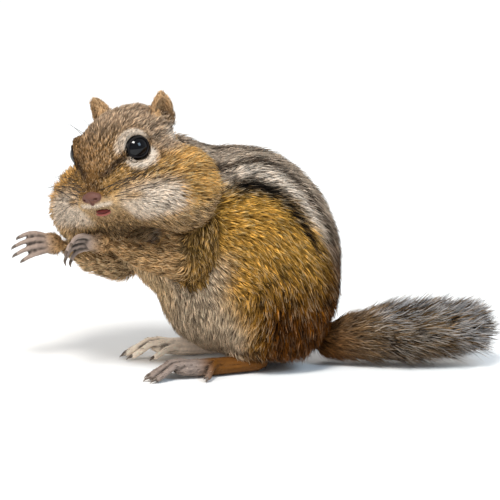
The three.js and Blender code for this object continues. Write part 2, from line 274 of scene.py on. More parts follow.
def tube(
    path: Array, radii: Array, sides: int, along: Optional[Array] = None, caps: Sequence[float] = (0.0, 0.0)
) -> Mesh:
    """Makes a closed round tube along a path.

    Args:
        path: Points along the middle.
        radii: Radius at each point.
        sides: How many sides.
        along: Unit directions at the points, or None to take them from the path.
        caps: How far each end's middle point stands out.

    Returns:
        Points and faces.
    """
    along = unit(np.gradient(path, axis=0)) if along is None else along
    reference = np.array([0.0, 0, 1]) if abs(along[0][2]) < 0.9 else np.array([0.0, 1, 0])
    side = unit(np.cross(reference, along))
    top = np.cross(along, side)
    angles = np.linspace(0, 2 * np.pi, sides, endpoint=False)
    rings = [
        path[i] + radii[i] * (np.cos(angles)[:, None] * side[i] + np.sin(angles)[:, None] * top[i])
        for i in range(len(path))
    ]
    verts = np.concatenate([*rings, path[:1] - along[:1] * caps[0], path[-1:] + along[-1:] * caps[1]])
    faces = []
    for i in range(len(path) - 1):
        for k in range(sides):
            a, b = i * sides + k, i * sides + (k + 1) % sides
            faces.append([a, b, b + sides, a + sides])
    last = (len(path) - 1) * sides
    faces += [[(k + 1) % sides, k, len(verts) - 2] for k in range(sides)]
    faces += [[last + k, last + (k + 1) % sides, len(verts) - 1] for k in range(sides)]
    return verts, faces


def gather(parts: Sequence[Mesh]) -> Mesh:
    """Joins several meshes into one list of points and faces.

    Args:
        parts: Points and faces of each.

    Returns:
        All points and faces.
    """
    verts, faces, start = [], [], 0
    for v, f in parts:
        verts.append(v)
        faces += [[start + i for i in face] for face in f]
        start += len(v)
    return np.concatenate(verts), faces


def choose(*objects: bpy.types.Object) -> None:
    """Selects these objects alone and makes the first one active.

    Args:
        objects: The objects to select.
    """
    bpy.ops.object.select_all(action="DESELECT")
    for o in objects:
        o.select_set(True)
    bpy.context.view_layer.objects.active = objects[0]


def join(objects: Sequence[bpy.types.Object]) -> bpy.types.Object:
    """Joins objects into the first of them.

    Args:
        objects: The objects.

    Returns:
        The joined object.
    """
    choose(*objects)
    if len(objects) > 1:
        bpy.ops.object.join()
    return bpy.context.view_layer.objects.active


def edit_mesh(o: bpy.types.Object, operation: Callable, **options: object) -> None:
    """Runs one mesh operation on all of an object's faces.

    Args:
        o: A mesh object.
        operation: The operator.
        options: The operator's settings.
    """
    choose(o)
    bpy.ops.object.mode_set(mode="EDIT")
    bpy.ops.mesh.select_all(action="SELECT")
    operation(**options)
    bpy.ops.object.mode_set(mode="OBJECT")


def recast(o: bpy.types.Object, voxel: float) -> None:
    """Fuses an object's closed forms into one even mesh.

    Args:
        o: A mesh object.
        voxel: Mesh size in millimetres.
    """
    remesh = o.modifiers.new("Remesh", "REMESH")
    remesh.mode = "VOXEL"
    remesh.voxel_size = voxel * MM
    choose(o)
    bpy.ops.object.modifier_apply(modifier=remesh.name)


def points_of(o: bpy.types.Object) -> Array:
    """Reads an object's points.

    Args:
        o: A mesh object that sits at the origin.

    Returns:
        Points in metres.
    """
    co = np.zeros(len(o.data.vertices) * 3)
    o.data.vertices.foreach_get("co", co)
    return co.reshape(-1, 3)


def normals_of(o: bpy.types.Object) -> Array:
    """Reads an object's point normals.

    Args:
        o: A mesh object.

    Returns:
        Unit normals.
    """
    no = np.zeros(len(o.data.vertices) * 3)
    o.data.vertex_normals.foreach_get("vector", no)
    return no.reshape(-1, 3)


def set_points(o: bpy.types.Object, points: Array) -> None:
    """Moves an object's points to new places in metres."""
    o.data.vertices.foreach_set("co", np.ascontiguousarray(points, dtype=np.float32).ravel())
    o.data.update()


def paint(o: bpy.types.Object, colours: Array) -> None:
    """Stores a colour for each point as the attribute Coat.

    Args:
        o: A mesh object.
        colours: Linear red, green and blue for each point.
    """
    layer = o.data.color_attributes.new("Coat", "FLOAT_COLOR", "POINT")
    rgba = np.ones((len(colours), 4), np.float32)
    rgba[:, :3] = np.clip(colours, 0.0, 1.0)
    layer.data.foreach_set("color", rgba.ravel())


class Assembly:
    """A part of the animal that keeps a list of its finished pieces."""

    def __init__(self, layout: Layout) -> None:
        """Starts with no pieces."""
        self.layout = layout
        self.pieces: list[bpy.types.Object] = []

    def finish(self, o: bpy.types.Object, name: str, material: bpy.types.Material, slot: str) -> None:
        """Names a piece, gives it its material, makes it ride on the body and keeps it.

        Args:
            o: The object.
            name: The piece's name.
            material: Its material.
            slot: The record's material slot; not used.
        """
        o.name = o.data.name = name
        o.data.materials.clear()
        o.data.materials.append(material)
        o.data.polygons.foreach_set("use_smooth", [True] * len(o.data.polygons))
        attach(o, BODY)
        self.pieces.append(o)


# Materials


@dataclass(frozen=True)
class Finish:
    """A surface finish.

    Attributes:
        name: The material's name.
        colour: Linear red, green and blue, used where nothing is painted.
        roughness: From 0, mirror-like, to 1.
        gloss: Specular level.
        painted: Whether the colour is the painted attribute Coat.
        grain: Size of the bump in millimetres, or 0.
        grain_height: Height of the bump in millimetres.
    """

    name: str
    colour: tuple[float, float, float]
    roughness: float
    gloss: float
    painted: bool = False
    grain: float = 0.0
    grain_height: float = 0.0

    def build(self) -> bpy.types.Material:
        """Makes the material.

        Returns:
            The material.
        """
        material = bpy.data.materials.new(self.name)
        material.use_nodes = True
        nodes, links = material.node_tree.nodes, material.node_tree.links
        shader = nodes["Principled BSDF"]
        shader.inputs["Base Color"].default_value = (*self.colour, 1)
        shader.inputs["Roughness"].default_value = self.roughness
        shader.inputs["Specular IOR Level"].default_value = self.gloss
        if self.painted:
            source = nodes.new("ShaderNodeAttribute")
            source.attribute_name = "Coat"
            links.new(source.outputs["Color"], shader.inputs["Base Color"])
        if self.grain:
            place = nodes.new("ShaderNodeTexCoord")
            noise = nodes.new("ShaderNodeTexNoise")
            noise.inputs["Scale"].default_value = 1 / (self.grain * MM)
            noise.inputs["Detail"].default_value = 4
            relief = nodes.new("ShaderNodeBump")
            relief.inputs["Distance"].default_value = self.grain_height * MM
            relief.inputs["Strength"].default_value = 0.8
            links.new(place.outputs["Object"], noise.inputs["Vector"])
            links.new(noise.outputs["Fac"], relief.inputs["Height"])
            links.new(relief.outputs["Normal"], shader.inputs["Normal"])
        return material


COAT = Finish("coat", (0.3, 0.25, 0.2), roughness=0.75, gloss=0.06, painted=True)
HIDE = Finish("hide", (0.3, 0.2, 0.15), roughness=0.8, gloss=0.25, painted=True, grain=0.5, grain_height=0.16)
EYE_GLOSS = Finish("eye_gloss", (0.001, 0.001, 0.002), roughness=0.03, gloss=0.3)
LID_RIM = Finish("lid_rim", (0.007, 0.005, 0.005), roughness=0.55, gloss=0.15)
NOSE_SKIN = Finish(
    "nose_skin", (0.12, 0.052, 0.038), roughness=0.55, gloss=0.2, grain=0.22, grain_height=0.06
)
LIP_SKIN = Finish("lip_skin", (0.28, 0.075, 0.055), roughness=0.45, gloss=0.25)
MOUTH_SKIN = Finish("mouth_skin", (0.09, 0.014, 0.012), roughness=0.5, gloss=0.12)
WHISKER_HAIR = Finish("whisker_hair", (0.02, 0.015, 0.012), roughness=0.5, gloss=0.3)
CLAW_HORN = Finish("claw_horn", (0.11, 0.08, 0.06), roughness=0.35, gloss=0.45)
FLOOR = Finish("floor", (0.86, 0.86, 0.85), roughness=0.7, gloss=0.2)


# Colours


def tint(red: float, green: float, blue: float) -> Array:
    """Turns display red, green and blue from 0 to 255 into linear values."""
    c = np.array([red, green, blue], float) / 255
    return np.where(c <= 0.04045, c / 12.92, ((c + 0.055) / 1.055) ** 2.4)


def dyed(red: float, green: float, blue: float) -> Array:
    """Gives a dataclass field that holds one colour, made from display values of 0 to 255."""
    return field(default_factory=lambda: tint(red, green, blue))


@dataclass(frozen=True)
class Dye:
    """The coat's colours, each linear red, green and blue."""

    grizzle: Array = dyed(176, 156, 136)
    crown: Array = dyed(176, 148, 120)
    brow: Array = dyed(150, 114, 74)
    snout: Array = dyed(110, 76, 32)
    ochre: Array = dyed(199, 149, 68)
    gold: Array = dyed(204, 155, 88)
    rust: Array = dyed(88, 48, 3)
    # arm: the forelegs' own grey-gold, lightened as painted light against the shadow of the head.
    arm: Array = dyed(184, 146, 100)
    shank: Array = dyed(92, 54, 6)
    dark: Array = dyed(58, 42, 30)
    black: Array = dyed(20, 15, 13)
    white: Array = dyed(238, 220, 200)
    cream: Array = dyed(208, 176, 134)
    throat: Array = dyed(170, 136, 94)
    belly: Array = dyed(190, 166, 138)
    tan: Array = dyed(176, 140, 100)
    toe: Array = dyed(138, 122, 112)
    pink: Array = dyed(128, 84, 68)
    frost: Array = dyed(218, 214, 213)


def mix(base: Array, other: Array, share: Array) -> Array:
    """Blends colours point by point, with a share of the other one from 0 to 1."""
    s = np.asarray(share)[:, None]
    return base * (1 - s) + other * s


@dataclass(frozen=True)
class Stripe:
    """One long stripe of the back, the same on both sides.

    Attributes:
        dye: The name of its colour.
        xs: Places along the body.
        ys: How far out from the spine its middle is at those places.
        width: How far from its middle it fades out.
        share: How strong it is, from 0 to 1.
        first: Where it starts behind the shoulder.
        fade: The heights between which it fades out over the rump.
    """

    dye: str
    xs: tuple[float, ...]
    ys: tuple[float, ...]
    width: float
    share: float
    first: float
    fade: tuple[float, float]


STRIPES = (
    Stripe(
        "dark",
        (-16, -10, -5.5, -1, 4, 8, 13, 16, 18),
        (11.2, 10.2, 8.8, 7.4, 8.0, 9.2, 10.4, 11.3, 11.0),
        width=2.1,
        share=0.95,
        first=-16,
        fade=(30, 40),
    ),
    Stripe(
        "white",
        (-12, -9.6, -4.6, -1, 3, 7.4, 11.8, 15, 17.3),
        (13.2, 12.7, 11.4, 11.4, 12.0, 12.8, 14.1, 14.3, 14.8),
        width=2.5,
        share=1.0,
        first=-6,
        fade=(34, 50),
    ),
    Stripe(
        "black",
        (-10, -2.5, 2.1, 5.0, 7.3, 9.5, 11.2, 12.6, 14.0),
        (15.5, 15.2, 15.3, 16.0, 16.6, 17.0, 17.4, 18.1, 19.2),
        width=2.7,
        share=1.0,
        first=-10,
        fade=(30, 40),
    ),
)


class Markings:
    """The coat's pattern, shared by the skin and every tuft."""

    FAR_HAND = 9
    """How much further ahead the right forepaw ends than the left one."""

    def __init__(self, layout: Layout) -> None:
        """Keeps the frames and mixes the colours."""
        self.layout = layout
        self.dye = Dye()

    def of(self, region: Region, p: Array) -> Array:
        """Colours points of one region.

        Args:
            region: The region.
            p: Points in millimetres in the animal's frame.

        Returns:
            Linear colours.
        """
        ways: dict[Region, Callable[[Array], Array]] = {
            Region.TRUNK: self._trunk,
            Region.HEAD: self._head,
            Region.ARMS: self._arms,
            Region.HANDS: self._arms,
            Region.FEET: self._feet,
            Region.EARS: self._ears,
            Region.TAIL: self._tail,
        }
        return ways[region](p)

    def _trunk(self, p: Array) -> Array:
        """Colours the trunk and hindquarters.

        Args:
            p: Points.

        Returns:
            Colours.
        """
        dye = self.dye
        x, y, z = p[:, 0], np.abs(p[:, 1]), p[:, 2]
        colour = np.tile(dye.grizzle, (len(p), 1))
        flank = ramp(13.5, 17.5, y) * ramp(72, 60, z)
        colour = mix(colour, dye.ochre, flank)
        rear = ramp(-18, 0, x) * ramp(47, 21, z + 0.25 * y)
        colour = mix(colour, dye.rust, rear)
        rump = ramp(12, 22, x) * ramp(48, 24, z)
        colour = mix(colour, dye.rust, 0.9 * rump)
        for stripe in STRIPES:
            across = bump(y - np.interp(x, stripe.xs, stripe.ys), stripe.width)
            reach = ramp(stripe.first - 6, stripe.first + 2, x)
            share = stripe.share * across * reach * ramp(*stripe.fade, z)
            colour = mix(colour, getattr(dye, stripe.dye), share)
        spine = bump(y, 1.9) * (ramp(-24, -14, x) * ramp(30, 42, z))
        colour = mix(colour, dye.dark, 0.8 * spine)
        front = -14.0 + 0.2 * (z - 20)
        under = ramp(3.0, -3.0, x - (front + 7.0 * ramp(30, 10, z))) * ramp(40, 31, z - 0.25 * (x + 20))
        under = under * ramp(22.5, 17, y) + bump(y, 9) * ramp(40, 30, z) * ramp(-6, -14, x)
        colour = mix(colour, dye.belly, np.clip(under, 0, 1))
        chest = ramp(-27, -33, x) * ramp(14, 8, y) * ramp(60, 50, z)
        return mix(colour, dye.cream, chest)

    def _head(self, p: Array) -> Array:
        """Colours the head and the cheek pouches.

        Args:
            p: Points.

        Returns:
            Colours.
        """
        dye = self.dye
        h = self.layout.to_head(p)
        f, lateral, u = h[:, 0], np.abs(h[:, 1]), h[:, 2]
        colour = np.tile(dye.crown, (len(p), 1))
        colour = mix(colour, dye.brow, ramp(-8, 0, f) * ramp(11, 4, u))
        snout = ramp(1, 7, f)
        colour = mix(colour, dye.snout, snout * ramp(2, -3, u))
        bridge = bump(np.hypot(f - 15.0, u + 5.2), 2.8)
        colour = mix(colour, dye.dark, 0.45 * bridge)
        golden = bump(np.hypot(0.8 * (f - 12.0), lateral - 4.8), 4.0) * ramp(-2.5, -5, u)
        colour = mix(colour, dye.gold * 0.75, 0.7 * golden)
        cheek = ramp(-1.5, -5.0, u - 0.1 * f) * ramp(5, 8, lateral)
        gold = mix(np.tile(dye.gold, (len(p), 1)), dye.gold * 0.62, ramp(-4, 4, f) * ramp(-9, -5, u))
        colour = mix(colour, gold, cheek)
        lore = bump(u + 1.0 + 0.45 * (f - 7.5), 1.8) * ramp(4.5, 6.5, f)
        lore = lore * ramp(15, 12, f) * ramp(1.5, 3.5, lateral)
        colour = mix(colour, dye.dark, 0.8 * lore)
        pad = ramp(-8.2, -9.8, u) * ramp(6, 9, f)
        colour = mix(colour, dye.cream, 0.6 * pad)
        pouch = np.sqrt(((f - 7.6) / 7.4) ** 2 + ((u + 14.8) / 7.4) ** 2)
        pouch = ramp(1.3, 0.4, pouch) * ramp(6, 9, lateral) * ramp(26.5, 23.5, lateral)
        colour = mix(colour, dye.white, 0.88 * pouch)
        spot = bump(np.hypot(f - 11.2, u + 11.2), 2.4) * ramp(8, 10, lateral)
        colour = mix(colour, dye.gold, 0.65 * spot)
        colour = mix(colour, dye.throat, ramp(-19.0, -23, u))
        colour = mix(colour, dye.throat, ramp(-15.5, -18.0, u) * ramp(9, 4, lateral))
        lip = bump(u + 12.2 - 0.1 * lateral, 1.6) * ramp(9.5, 12, f) * ramp(7, 5, lateral)
        colour = mix(colour, dye.white, 0.8 * lip)
        colour = self._eye_rings(colour, h)
        behind = bump(np.hypot(0.8 * (f + 16.5), 0.8 * (u + 2.0)), 4.8) * ramp(8, 11, lateral)
        colour = mix(colour, dye.white, 0.85 * behind)
        slit = bump(f + 16.2 + 0.25 * (u + 3), 1.1) * bump(u + 3.0, 3.4) * ramp(8, 11, lateral)
        colour = mix(colour, dye.dark, 0.85 * slit)
        nose = np.sqrt(((f - 17.2) / 2.8) ** 2 + (lateral / 3.2) ** 2 + ((u + 9.0) / 2.1) ** 2)
        return mix(colour, dye.pink, ramp(1.2, 0.85, nose))

    def _eye_rings(self, colour: Array, h: Array) -> Array:
        """Adds the pale rings, the dark corners and the dark streak of each eye.

        Args:
            colour: Colours so far.
            h: Points in the head's frame.

        Returns:
            Colours.
        """
        dye = self.dye
        ahead, above, out = self.layout.eye_view(h)
        around = np.hypot(ahead / 1.06, above)
        outside = ramp(-4, 0, out)
        over = bump(around - 4.9, 2.2) * ramp(0.2, 1.6, above) * ramp(-5.6, -3.0, ahead)
        beneath = bump(around - 4.8, 2.0) * ramp(-0.8, -2.2, above)
        beneath = beneath * ramp(-8.0, -5.5, ahead) * ramp(5.5, 3.5, ahead)
        hidden = ramp(-3, -1, ahead) * (h[:, 1] < 0)
        colour = mix(colour, dye.white, np.clip(over + beneath, 0, 1) * outside * (1 - hidden))
        corner = bump(np.hypot(ahead + 5.0, above - 1.4), 1.9)
        streak = bump(above - 1.0 - 0.12 * (ahead + 6), 1.3) * ramp(-5, -6.5, ahead) * ramp(-16, -9, ahead)
        colour = mix(colour, dye.dark, np.clip(0.85 * corner + 0.6 * streak, 0, 1) * outside)
        return mix(colour, dye.black, ramp(3.75, 3.3, around) * outside)

    def _arms(self, p: Array) -> Array:
        """Colours the forelegs and forepaws.

        Args:
            p: Points.

        Returns:
            Colours.
        """
        dye = self.dye
        far = p[:, 1] > 0
        colour = np.tile(dye.arm, (len(p), 1))
        colour = mix(colour, dye.ochre * 0.6, 0.85 * ramp(-34, -26, p[:, 0]))
        colour = mix(colour, dye.cream, (0.5 + 0.3 * far) * ramp(36, 31, p[:, 2]) * ramp(-30, -38, p[:, 0]))
        return mix(colour, dye.toe, ramp(-51, -57, p[:, 0] + self.FAR_HAND * far))

    def _feet(self, p: Array) -> Array:
        """Colours the hind feet, the right one paler as painted light on the foot that lies in the body's
        shadow.

        Args:
            p: Points.

        Returns:
            Colours.
        """
        dye = self.dye
        # The right foot's white toes and paler shank are painted light.
        toes = np.where(p[:, 1:2] < 0, dye.toe * 0.8, dye.white)
        colour = mix(np.tile(dye.shank, (len(p), 1)), dye.white, 0.55 * (p[:, 1] > 0))
        return mix(colour, toes, ramp(-18, -25, p[:, 0]))

    def _ears(self, p: Array) -> Array:
        """Colours the ears, with painted shade in each ear's hollow.

        Args:
            p: Points.

        Returns:
            Colours.
        """
        dye = self.dye
        h = self.layout.to_head(p)
        hollow = bump(np.hypot(h[:, 0] + 16.7, 0.7 * (h[:, 2] - 3.2)), 3.4)
        # Painted shade in the ear's hollow.
        colour = mix(np.tile(dye.tan * 0.98, (len(p), 1)), dye.dark, 0.6 * hollow)
        return mix(colour, dye.cream, 0.5 * ramp(10.5, 14.0, h[:, 2]))

    def _tail(self, p: Array) -> Array:
        """Colours the tail's skin."""
        return mix(np.tile(self.dye.rust, (len(p), 1)), self.dye.tan, ramp(24, 44, p[:, 0]))


# The skin


@dataclass(frozen=True)
class TailSize:
    """The tail's middle line and core.

    Attributes:
        path: The corners of the middle line, from the rump to the core's tip.
        radii: The core's radii at even steps along it.
        sides: How many sides the core has.
        rings: How many rings the core has.
        caps: How far the core's two ends stand out.
        steps: How many steps the middle line is smoothed in.
        blur: How many steps are averaged into one, an odd number.
    """

    path: tuple = ((8, -1, 9), (22, -8, 8.6), (36, -12.8, 9.9), (49, -17, 10.9), (58, -19.8, 11.6))
    radii: tuple = (5.2, 3.6, 3.2, 3.0, 1.8)
    sides: int = 16
    rings: int = 24
    caps: tuple[float, float] = (2, 1.2)
    steps: int = 200
    blur: int = 31

    def curve(self, share: Array) -> tuple[Array, Array]:
        """Gives points and directions along the tail.

        Args:
            share: Places from 0 at the rump to 1 at the core's tip.

        Returns:
            Points and unit directions.
        """
        path = np.array(self.path, float)
        corners = np.r_[0, np.cumsum(np.linalg.norm(np.diff(path, axis=0), axis=1))]
        whole = corners[-1]
        at = np.clip(share, 0, 1) * whole
        fine = np.linspace(0, whole, self.steps)
        smooth = np.stack([np.interp(fine, corners, path[:, k]) for k in range(3)], 1)
        kernel = np.hanning(self.blur) / np.hanning(self.blur).sum()
        half = self.blur // 2
        before = smooth[:1] + (smooth[:1] - smooth[half:0:-1])
        after = smooth[-1:] + (smooth[-1:] - smooth[-2 : -2 - half : -1])
        padded = np.concatenate([before, smooth, after])
        smooth = np.stack([np.convolve(padded[:, k], kernel, "valid") for k in range(3)], 1)
        nearby = (at, np.minimum(at + 0.5, whole), np.maximum(at - 0.5, 0))
        points, ahead, back = (np.stack([np.interp(s, fine, c) for c in smooth.T], -1) for s in nearby)
        return points, unit(ahead - back)

    def over(self, p: Array) -> Array:
        """Measures how far above the tail's middle line points are.

        Args:
            p: Points in millimetres.

        Returns:
            Heights, less than zero below the line.
        """
        start, stop = self.path[0][0], self.path[-1][0]
        middle, _ = self.curve(np.clip((p[:, 0] - start) / (stop - start), 0, 1))
        return p[:, 2] - middle[:, 2]


@dataclass(frozen=True)
class SkinSize:
    """Sizes of the skin's mesh.

    Attributes:
        body: Mesh size over the body and limbs.
        face: Mesh size over the head.
        fine: Mesh size over the paws and ears.
        swell: How far each solid of the body and head grows so that neighbours join.
        settle: Rounds of smoothing.
        hold_paws: How much of their own shape the paws and ears keep, from 0 to 1.
        hold_face: The same for the muzzle.
        stubs: Short limbs that join the paws and the head to the body: two ends and two radii each.
        ear_stub: The same for the left ear, in the head's frame.
        ear_sink: How far the left ear moves into the head, in the head's frame.
        ear_wide: The direction in which the ears are wide, in the head's frame.
        ear_round: How much wider each ear's top gets.
        tail_from: Where the tail can start, along the body.
        tail_gap: How far from every solid of the body the tail's skin is.
        shades: How light the skin is kept, as painted shade under the coat: bare paws and ears, head,
            elsewhere.
    """

    body: float = 0.9
    face: float = 0.55
    fine: float = 0.34
    swell: float = 0.24
    settle: int = 3
    hold_paws: float = 0.7
    hold_face: float = 0.8
    stubs: tuple = (
        ((-45, -14, 41.2), (-52, -11, 42.5), 2.7, 2.0),
        ((-55, 11, 35.5), (-62, 9, 38.5), 2.7, 2.0),
        ((-12, -11, 3.2), (-2, -10, 9), 2.6, 5.0),
        ((-12, 11, 3.2), (-2, 10, 9), 2.6, 5.0),
        ((-42, -6, 65), (-30, 0, 59), 10.5, 10.5),
    )
    ear_stub: tuple = ((-15.8, 11.2, 4.6), (-11.5, 6.5, 0.0), 3.7, 7.0)
    ear_sink: tuple = (0.2, -0.3, -0.2)
    ear_wide: tuple = (-0.49, 0.82, -0.29)
    ear_round: dict = field(default_factory=lambda: {Side.LEFT: -0.05, Side.RIGHT: 0.45})
    tail_from: float = 12
    tail_gap: float = 1.2
    shades: tuple = (0.9, 0.72, 0.5)


class Skin(Assembly):
    """One skin over the whole animal, inside the solids by the coat's depth."""

    def __init__(self, layout: Layout, tail: TailSize, size: SkinSize = SkinSize()) -> None:
        """Builds the skin.

        Args:
            layout: The animal's frames.
            tail: The tail's middle line.
            size: Mesh sizes.
        """
        super().__init__(layout)
        self.tail = tail
        self.size = size
        self.surface: Optional[BVHTree] = None
        self.object = self._cast_all()
        self.region = self._regions()
        self._inset()

    def _tail_core(self) -> bpy.types.Object:
        """Makes the tail's core.

        Returns:
            A closed tube that narrows towards its tip.
        """
        size = self.tail
        shares = np.linspace(0, 1, size.rings)
        middle, along = size.curve(shares)
        radii = np.interp(shares, np.linspace(0, 1, len(size.radii)), size.radii)
        verts, faces = tube(middle, radii, size.sides, along, size.caps)
        return mesh_object("tail_core", self.layout.to_scene(verts), faces)

    def _copy(self, name: str, swell: float = 0.0) -> bpy.types.Object:
        """Copies one solid, joined at its edges.

        Args:
            name: The solid's name.
            swell: How far it grows.

        Returns:
            The copy.
        """
        copy = bpy.data.objects.new("copy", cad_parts[name].data.copy())
        copy.data.materials.clear()
        bpy.context.scene.collection.objects.link(copy)
        edit_mesh(copy, bpy.ops.mesh.remove_doubles, threshold=1e-6)
        set_points(copy, points_of(copy) + normals_of(copy) * swell * MM)
        return copy

    def _stubs(self) -> list[bpy.types.Object]:
        """Makes the short limbs that join the paws, the head and the ears to the body.

        Returns:
            The limbs.
        """
        ends = [(np.array(a, float), np.array(b, float), r, q) for a, b, r, q in self.size.stubs]
        a, b, r, q = self.size.ear_stub
        for side in Side:
            flip = np.array([1, side.out, 1])
            ends.append((self.layout.from_head(a * flip), self.layout.from_head(b * flip), r, q))
        made = []
        for start, stop, first, last in ends:
            shares = np.linspace(0, 1, 5)[:, None]
            verts, faces = tube(start + (stop - start) * shares, first + (last - first) * shares[:, 0], 14)
            made.append(mesh_object("stub", self.layout.to_scene(verts), faces))
        return made

    def _cast(self, copies: list[bpy.types.Object], voxel: float) -> bpy.types.Object:
        """Fuses copies into one even mesh and keeps its largest closed surface.

        Args:
            copies: The copies.
            voxel: Mesh size.

        Returns:
            The fused mesh.
        """
        cast = join(copies)
        recast(cast, voxel)
        edit_mesh(cast, bpy.ops.mesh.separate, type="LOOSE")
        found = sorted(bpy.context.selected_objects, key=lambda o: len(o.data.vertices), reverse=True)
        for scrap in found[1:]:
            bpy.data.objects.remove(scrap)
        return found[0]

    def _cast_all(self) -> bpy.types.Object:
        """Casts the body and head and, more finely, the paws and ears, and joins them.

        Returns:
            The skin.
        """
        size = self.size
        coarse = (Region.TRUNK, Region.ARMS, Region.HEAD)
        grown = {r: [self._copy(n, size.swell) for n in REGION_NODES[r]] for r in coarse}
        body = [*grown[Region.TRUNK], *grown[Region.ARMS], self._tail_core(), *self._stubs()]
        shells = [self._cast(body, size.body), self._cast(grown[Region.HEAD], size.face)]
        for region in FINE:
            for name, side in zip(REGION_NODES[region], Side):
                shell = self._cast([self._copy(name)], size.fine)
                if region is Region.EARS:
                    self._shape_ear(shell, side)
                shells.append(shell)
        return join(shells)

    def _shape_ear(self, ear: bpy.types.Object, side: Side) -> None:
        """Sinks an ear into the head and rounds its top.

        Args:
            ear: The ear's mesh.
            side: Which ear.
        """
        h = self.layout.scene_to_head(points_of(ear)) + np.array(self.size.ear_sink) * [1, side.out, 1]
        middle = (h.min(0) + h.max(0)) / 2
        wide = unit(np.array(self.size.ear_wide))
        grow = self.size.ear_round[side] * (0.4 + 0.6 * ramp(middle[2] - 2, h[:, 2].max(), h[:, 2]))
        h += (((h - middle) @ wide) * grow)[:, None] * wide
        set_points(ear, self.layout.head_to_scene(h))

    def _regions(self) -> Array:
        """Finds the region of each point of the skin, from the nearest solid.

        Returns:
            The region's number for each point.
        """
        points = points_of(self.object)
        best = np.full(len(points), 1e9)
        region = np.zeros(len(points), int)
        keys = list(Region)
        for key, names in REGION_NODES.items():
            verts, faces = [], []
            for name in names:
                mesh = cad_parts[name].data
                start = len(verts)
                verts += [v.co.copy() for v in mesh.vertices]
                faces += [[start + i for i in face.vertices] for face in mesh.polygons]
            tree = BVHTree.FromPolygons(verts, faces)
            gap = np.array([tree.find_nearest(Vector(p))[3] for p in points])
            closer = gap < best
            best[closer] = gap[closer]
            region[closer] = keys.index(key)
        behind = self.layout.from_scene(points)[:, 0] > self.size.tail_from
        region[(best > self.size.tail_gap * MM) & behind] = keys.index(Region.TAIL)
        return region

    def of(self, *regions: Region) -> Array:
        """Gives a mask of the skin's points that belong to some regions."""
        keys = list(Region)
        return np.isin(self.region, [keys.index(r) for r in regions])

    def meet(self, start: Array, way: Array) -> tuple[Array, Array]:
        """Finds where a line from outside first meets the skin.

        Args:
            start: Where the line starts, in the head's frame.
            way: Its direction, in the head's frame.

        Returns:
            The place and the outward direction there, in the head's frame.
        """
        if self.surface is None:
            faces = [tuple(face.vertices) for face in self.object.data.polygons]
            self.surface = BVHTree.FromPolygons([Vector(v) for v in points_of(self.object)], faces)
        axes = self.layout.head_axes
        begin = self.layout.head_to_scene(start)
        place, normal, _, _ = self.surface.ray_cast(Vector(begin), Vector(axes @ way))
        return self.layout.scene_to_head(np.array(place)), np.array(normal) @ axes

    def _spread(self, values: Array, rounds: int) -> Array:
        """Blends values with those of neighbouring points.

        Args:
            values: One row a point.
            rounds: How many times.

        Returns:
            The blended values.
        """
        edges = np.zeros(len(self.object.data.edges) * 2, int)
        self.object.data.edges.foreach_get("vertices", edges)
        a, b = edges.reshape(-1, 2).T
        rows = len(values)
        count = np.bincount(a, minlength=rows) + np.bincount(b, minlength=rows) + 1.0
        flat = values.reshape(rows, -1).astype(float)
        for _ in range(rounds):
            total = flat.copy()
            for k, column in enumerate(flat.T):
                total[:, k] += np.bincount(a, column[b], rows) + np.bincount(b, column[a], rows)
            flat = total / count[:, None]
        return flat.reshape(values.shape)

    def _inset(self) -> None:
        """Smooths the skin and moves it in by the coat's depth."""
        depth = np.array([COAT_DEPTH[r] for r in Region])[self.region]
        depth += self.size.swell * ~self.of(*FINE)
        soft = self._spread(depth, 8)
        points = points_of(self.object)
        smooth = self._spread(points, self.size.settle)
        keep = self._spread(self.of(*FINE).astype(float), 3)[:, None] * self.size.hold_paws
        face = self.of(Region.HEAD) & (self.layout.scene_to_head(points)[:, 0] > 6)
        keep = np.maximum(keep, self._spread(face.astype(float), 4)[:, None] * self.size.hold_face)
        points = points * keep + smooth * (1 - keep)
        set_points(self.object, points)
        normals = unit(self._spread(normals_of(self.object), 3))
        set_points(self.object, points - normals * soft[:, None] * MM)

    def dress(self, markings: Markings) -> None:
        """Unwraps and paints the skin, and puts it in the place of the solids.

        Args:
            markings: The coat's pattern.
        """
        skin = self.object
        while skin.data.uv_layers:
            skin.data.uv_layers.remove(skin.data.uv_layers[0])
        skin.data.uv_layers.new(name="OFBake")
        edit_mesh(skin, bpy.ops.uv.smart_project, angle_limit=math.radians(66), island_margin=0.002)
        p = self.layout.from_scene(points_of(skin))
        # How deep each point lies in a hollow, for the painted shade in the paws' creases.
        hollow = ((self._spread(p, 8) - p) * normals_of(skin)).sum(1)
        depth = np.array([COAT_DEPTH[r] for r in Region])[self.region]
        outer = p + normals_of(skin) * depth[:, None]
        colours = np.zeros((len(p), 3))
        for region in Region:
            mask = self.of(region)
            colours[mask] = markings.of(region, outer[mask])
        bare = self.of(Region.HANDS, Region.FEET)
        # The skin is darkened as painted shade under the coat, least on the bare paws and ears and most under
        # the thick body coat.
        light, head, rest = self.size.shades
        shade = np.where(self.of(*FINE), light, np.where(self.of(Region.HEAD), head, rest))
        # Bare paws: painted shade in the hollows between fingers and toes and a painted highlight on rounded
        # parts, with a little random tone.
        crease_shade_and_highlight = np.clip(1.05 - 6.0 * hollow, 0.15, 1.3) * (1 + 0.1 * wander(p, 1.3, 77))
        shade = shade * np.where(bare, crease_shade_and_highlight, 1)
        paint(skin, colours * shade[:, None])
        self.finish(skin, "skin", HIDE.build(), FUR_SLOT)
        for names in REGION_NODES.values():
            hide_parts(*names)
        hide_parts("tail")


# The coat


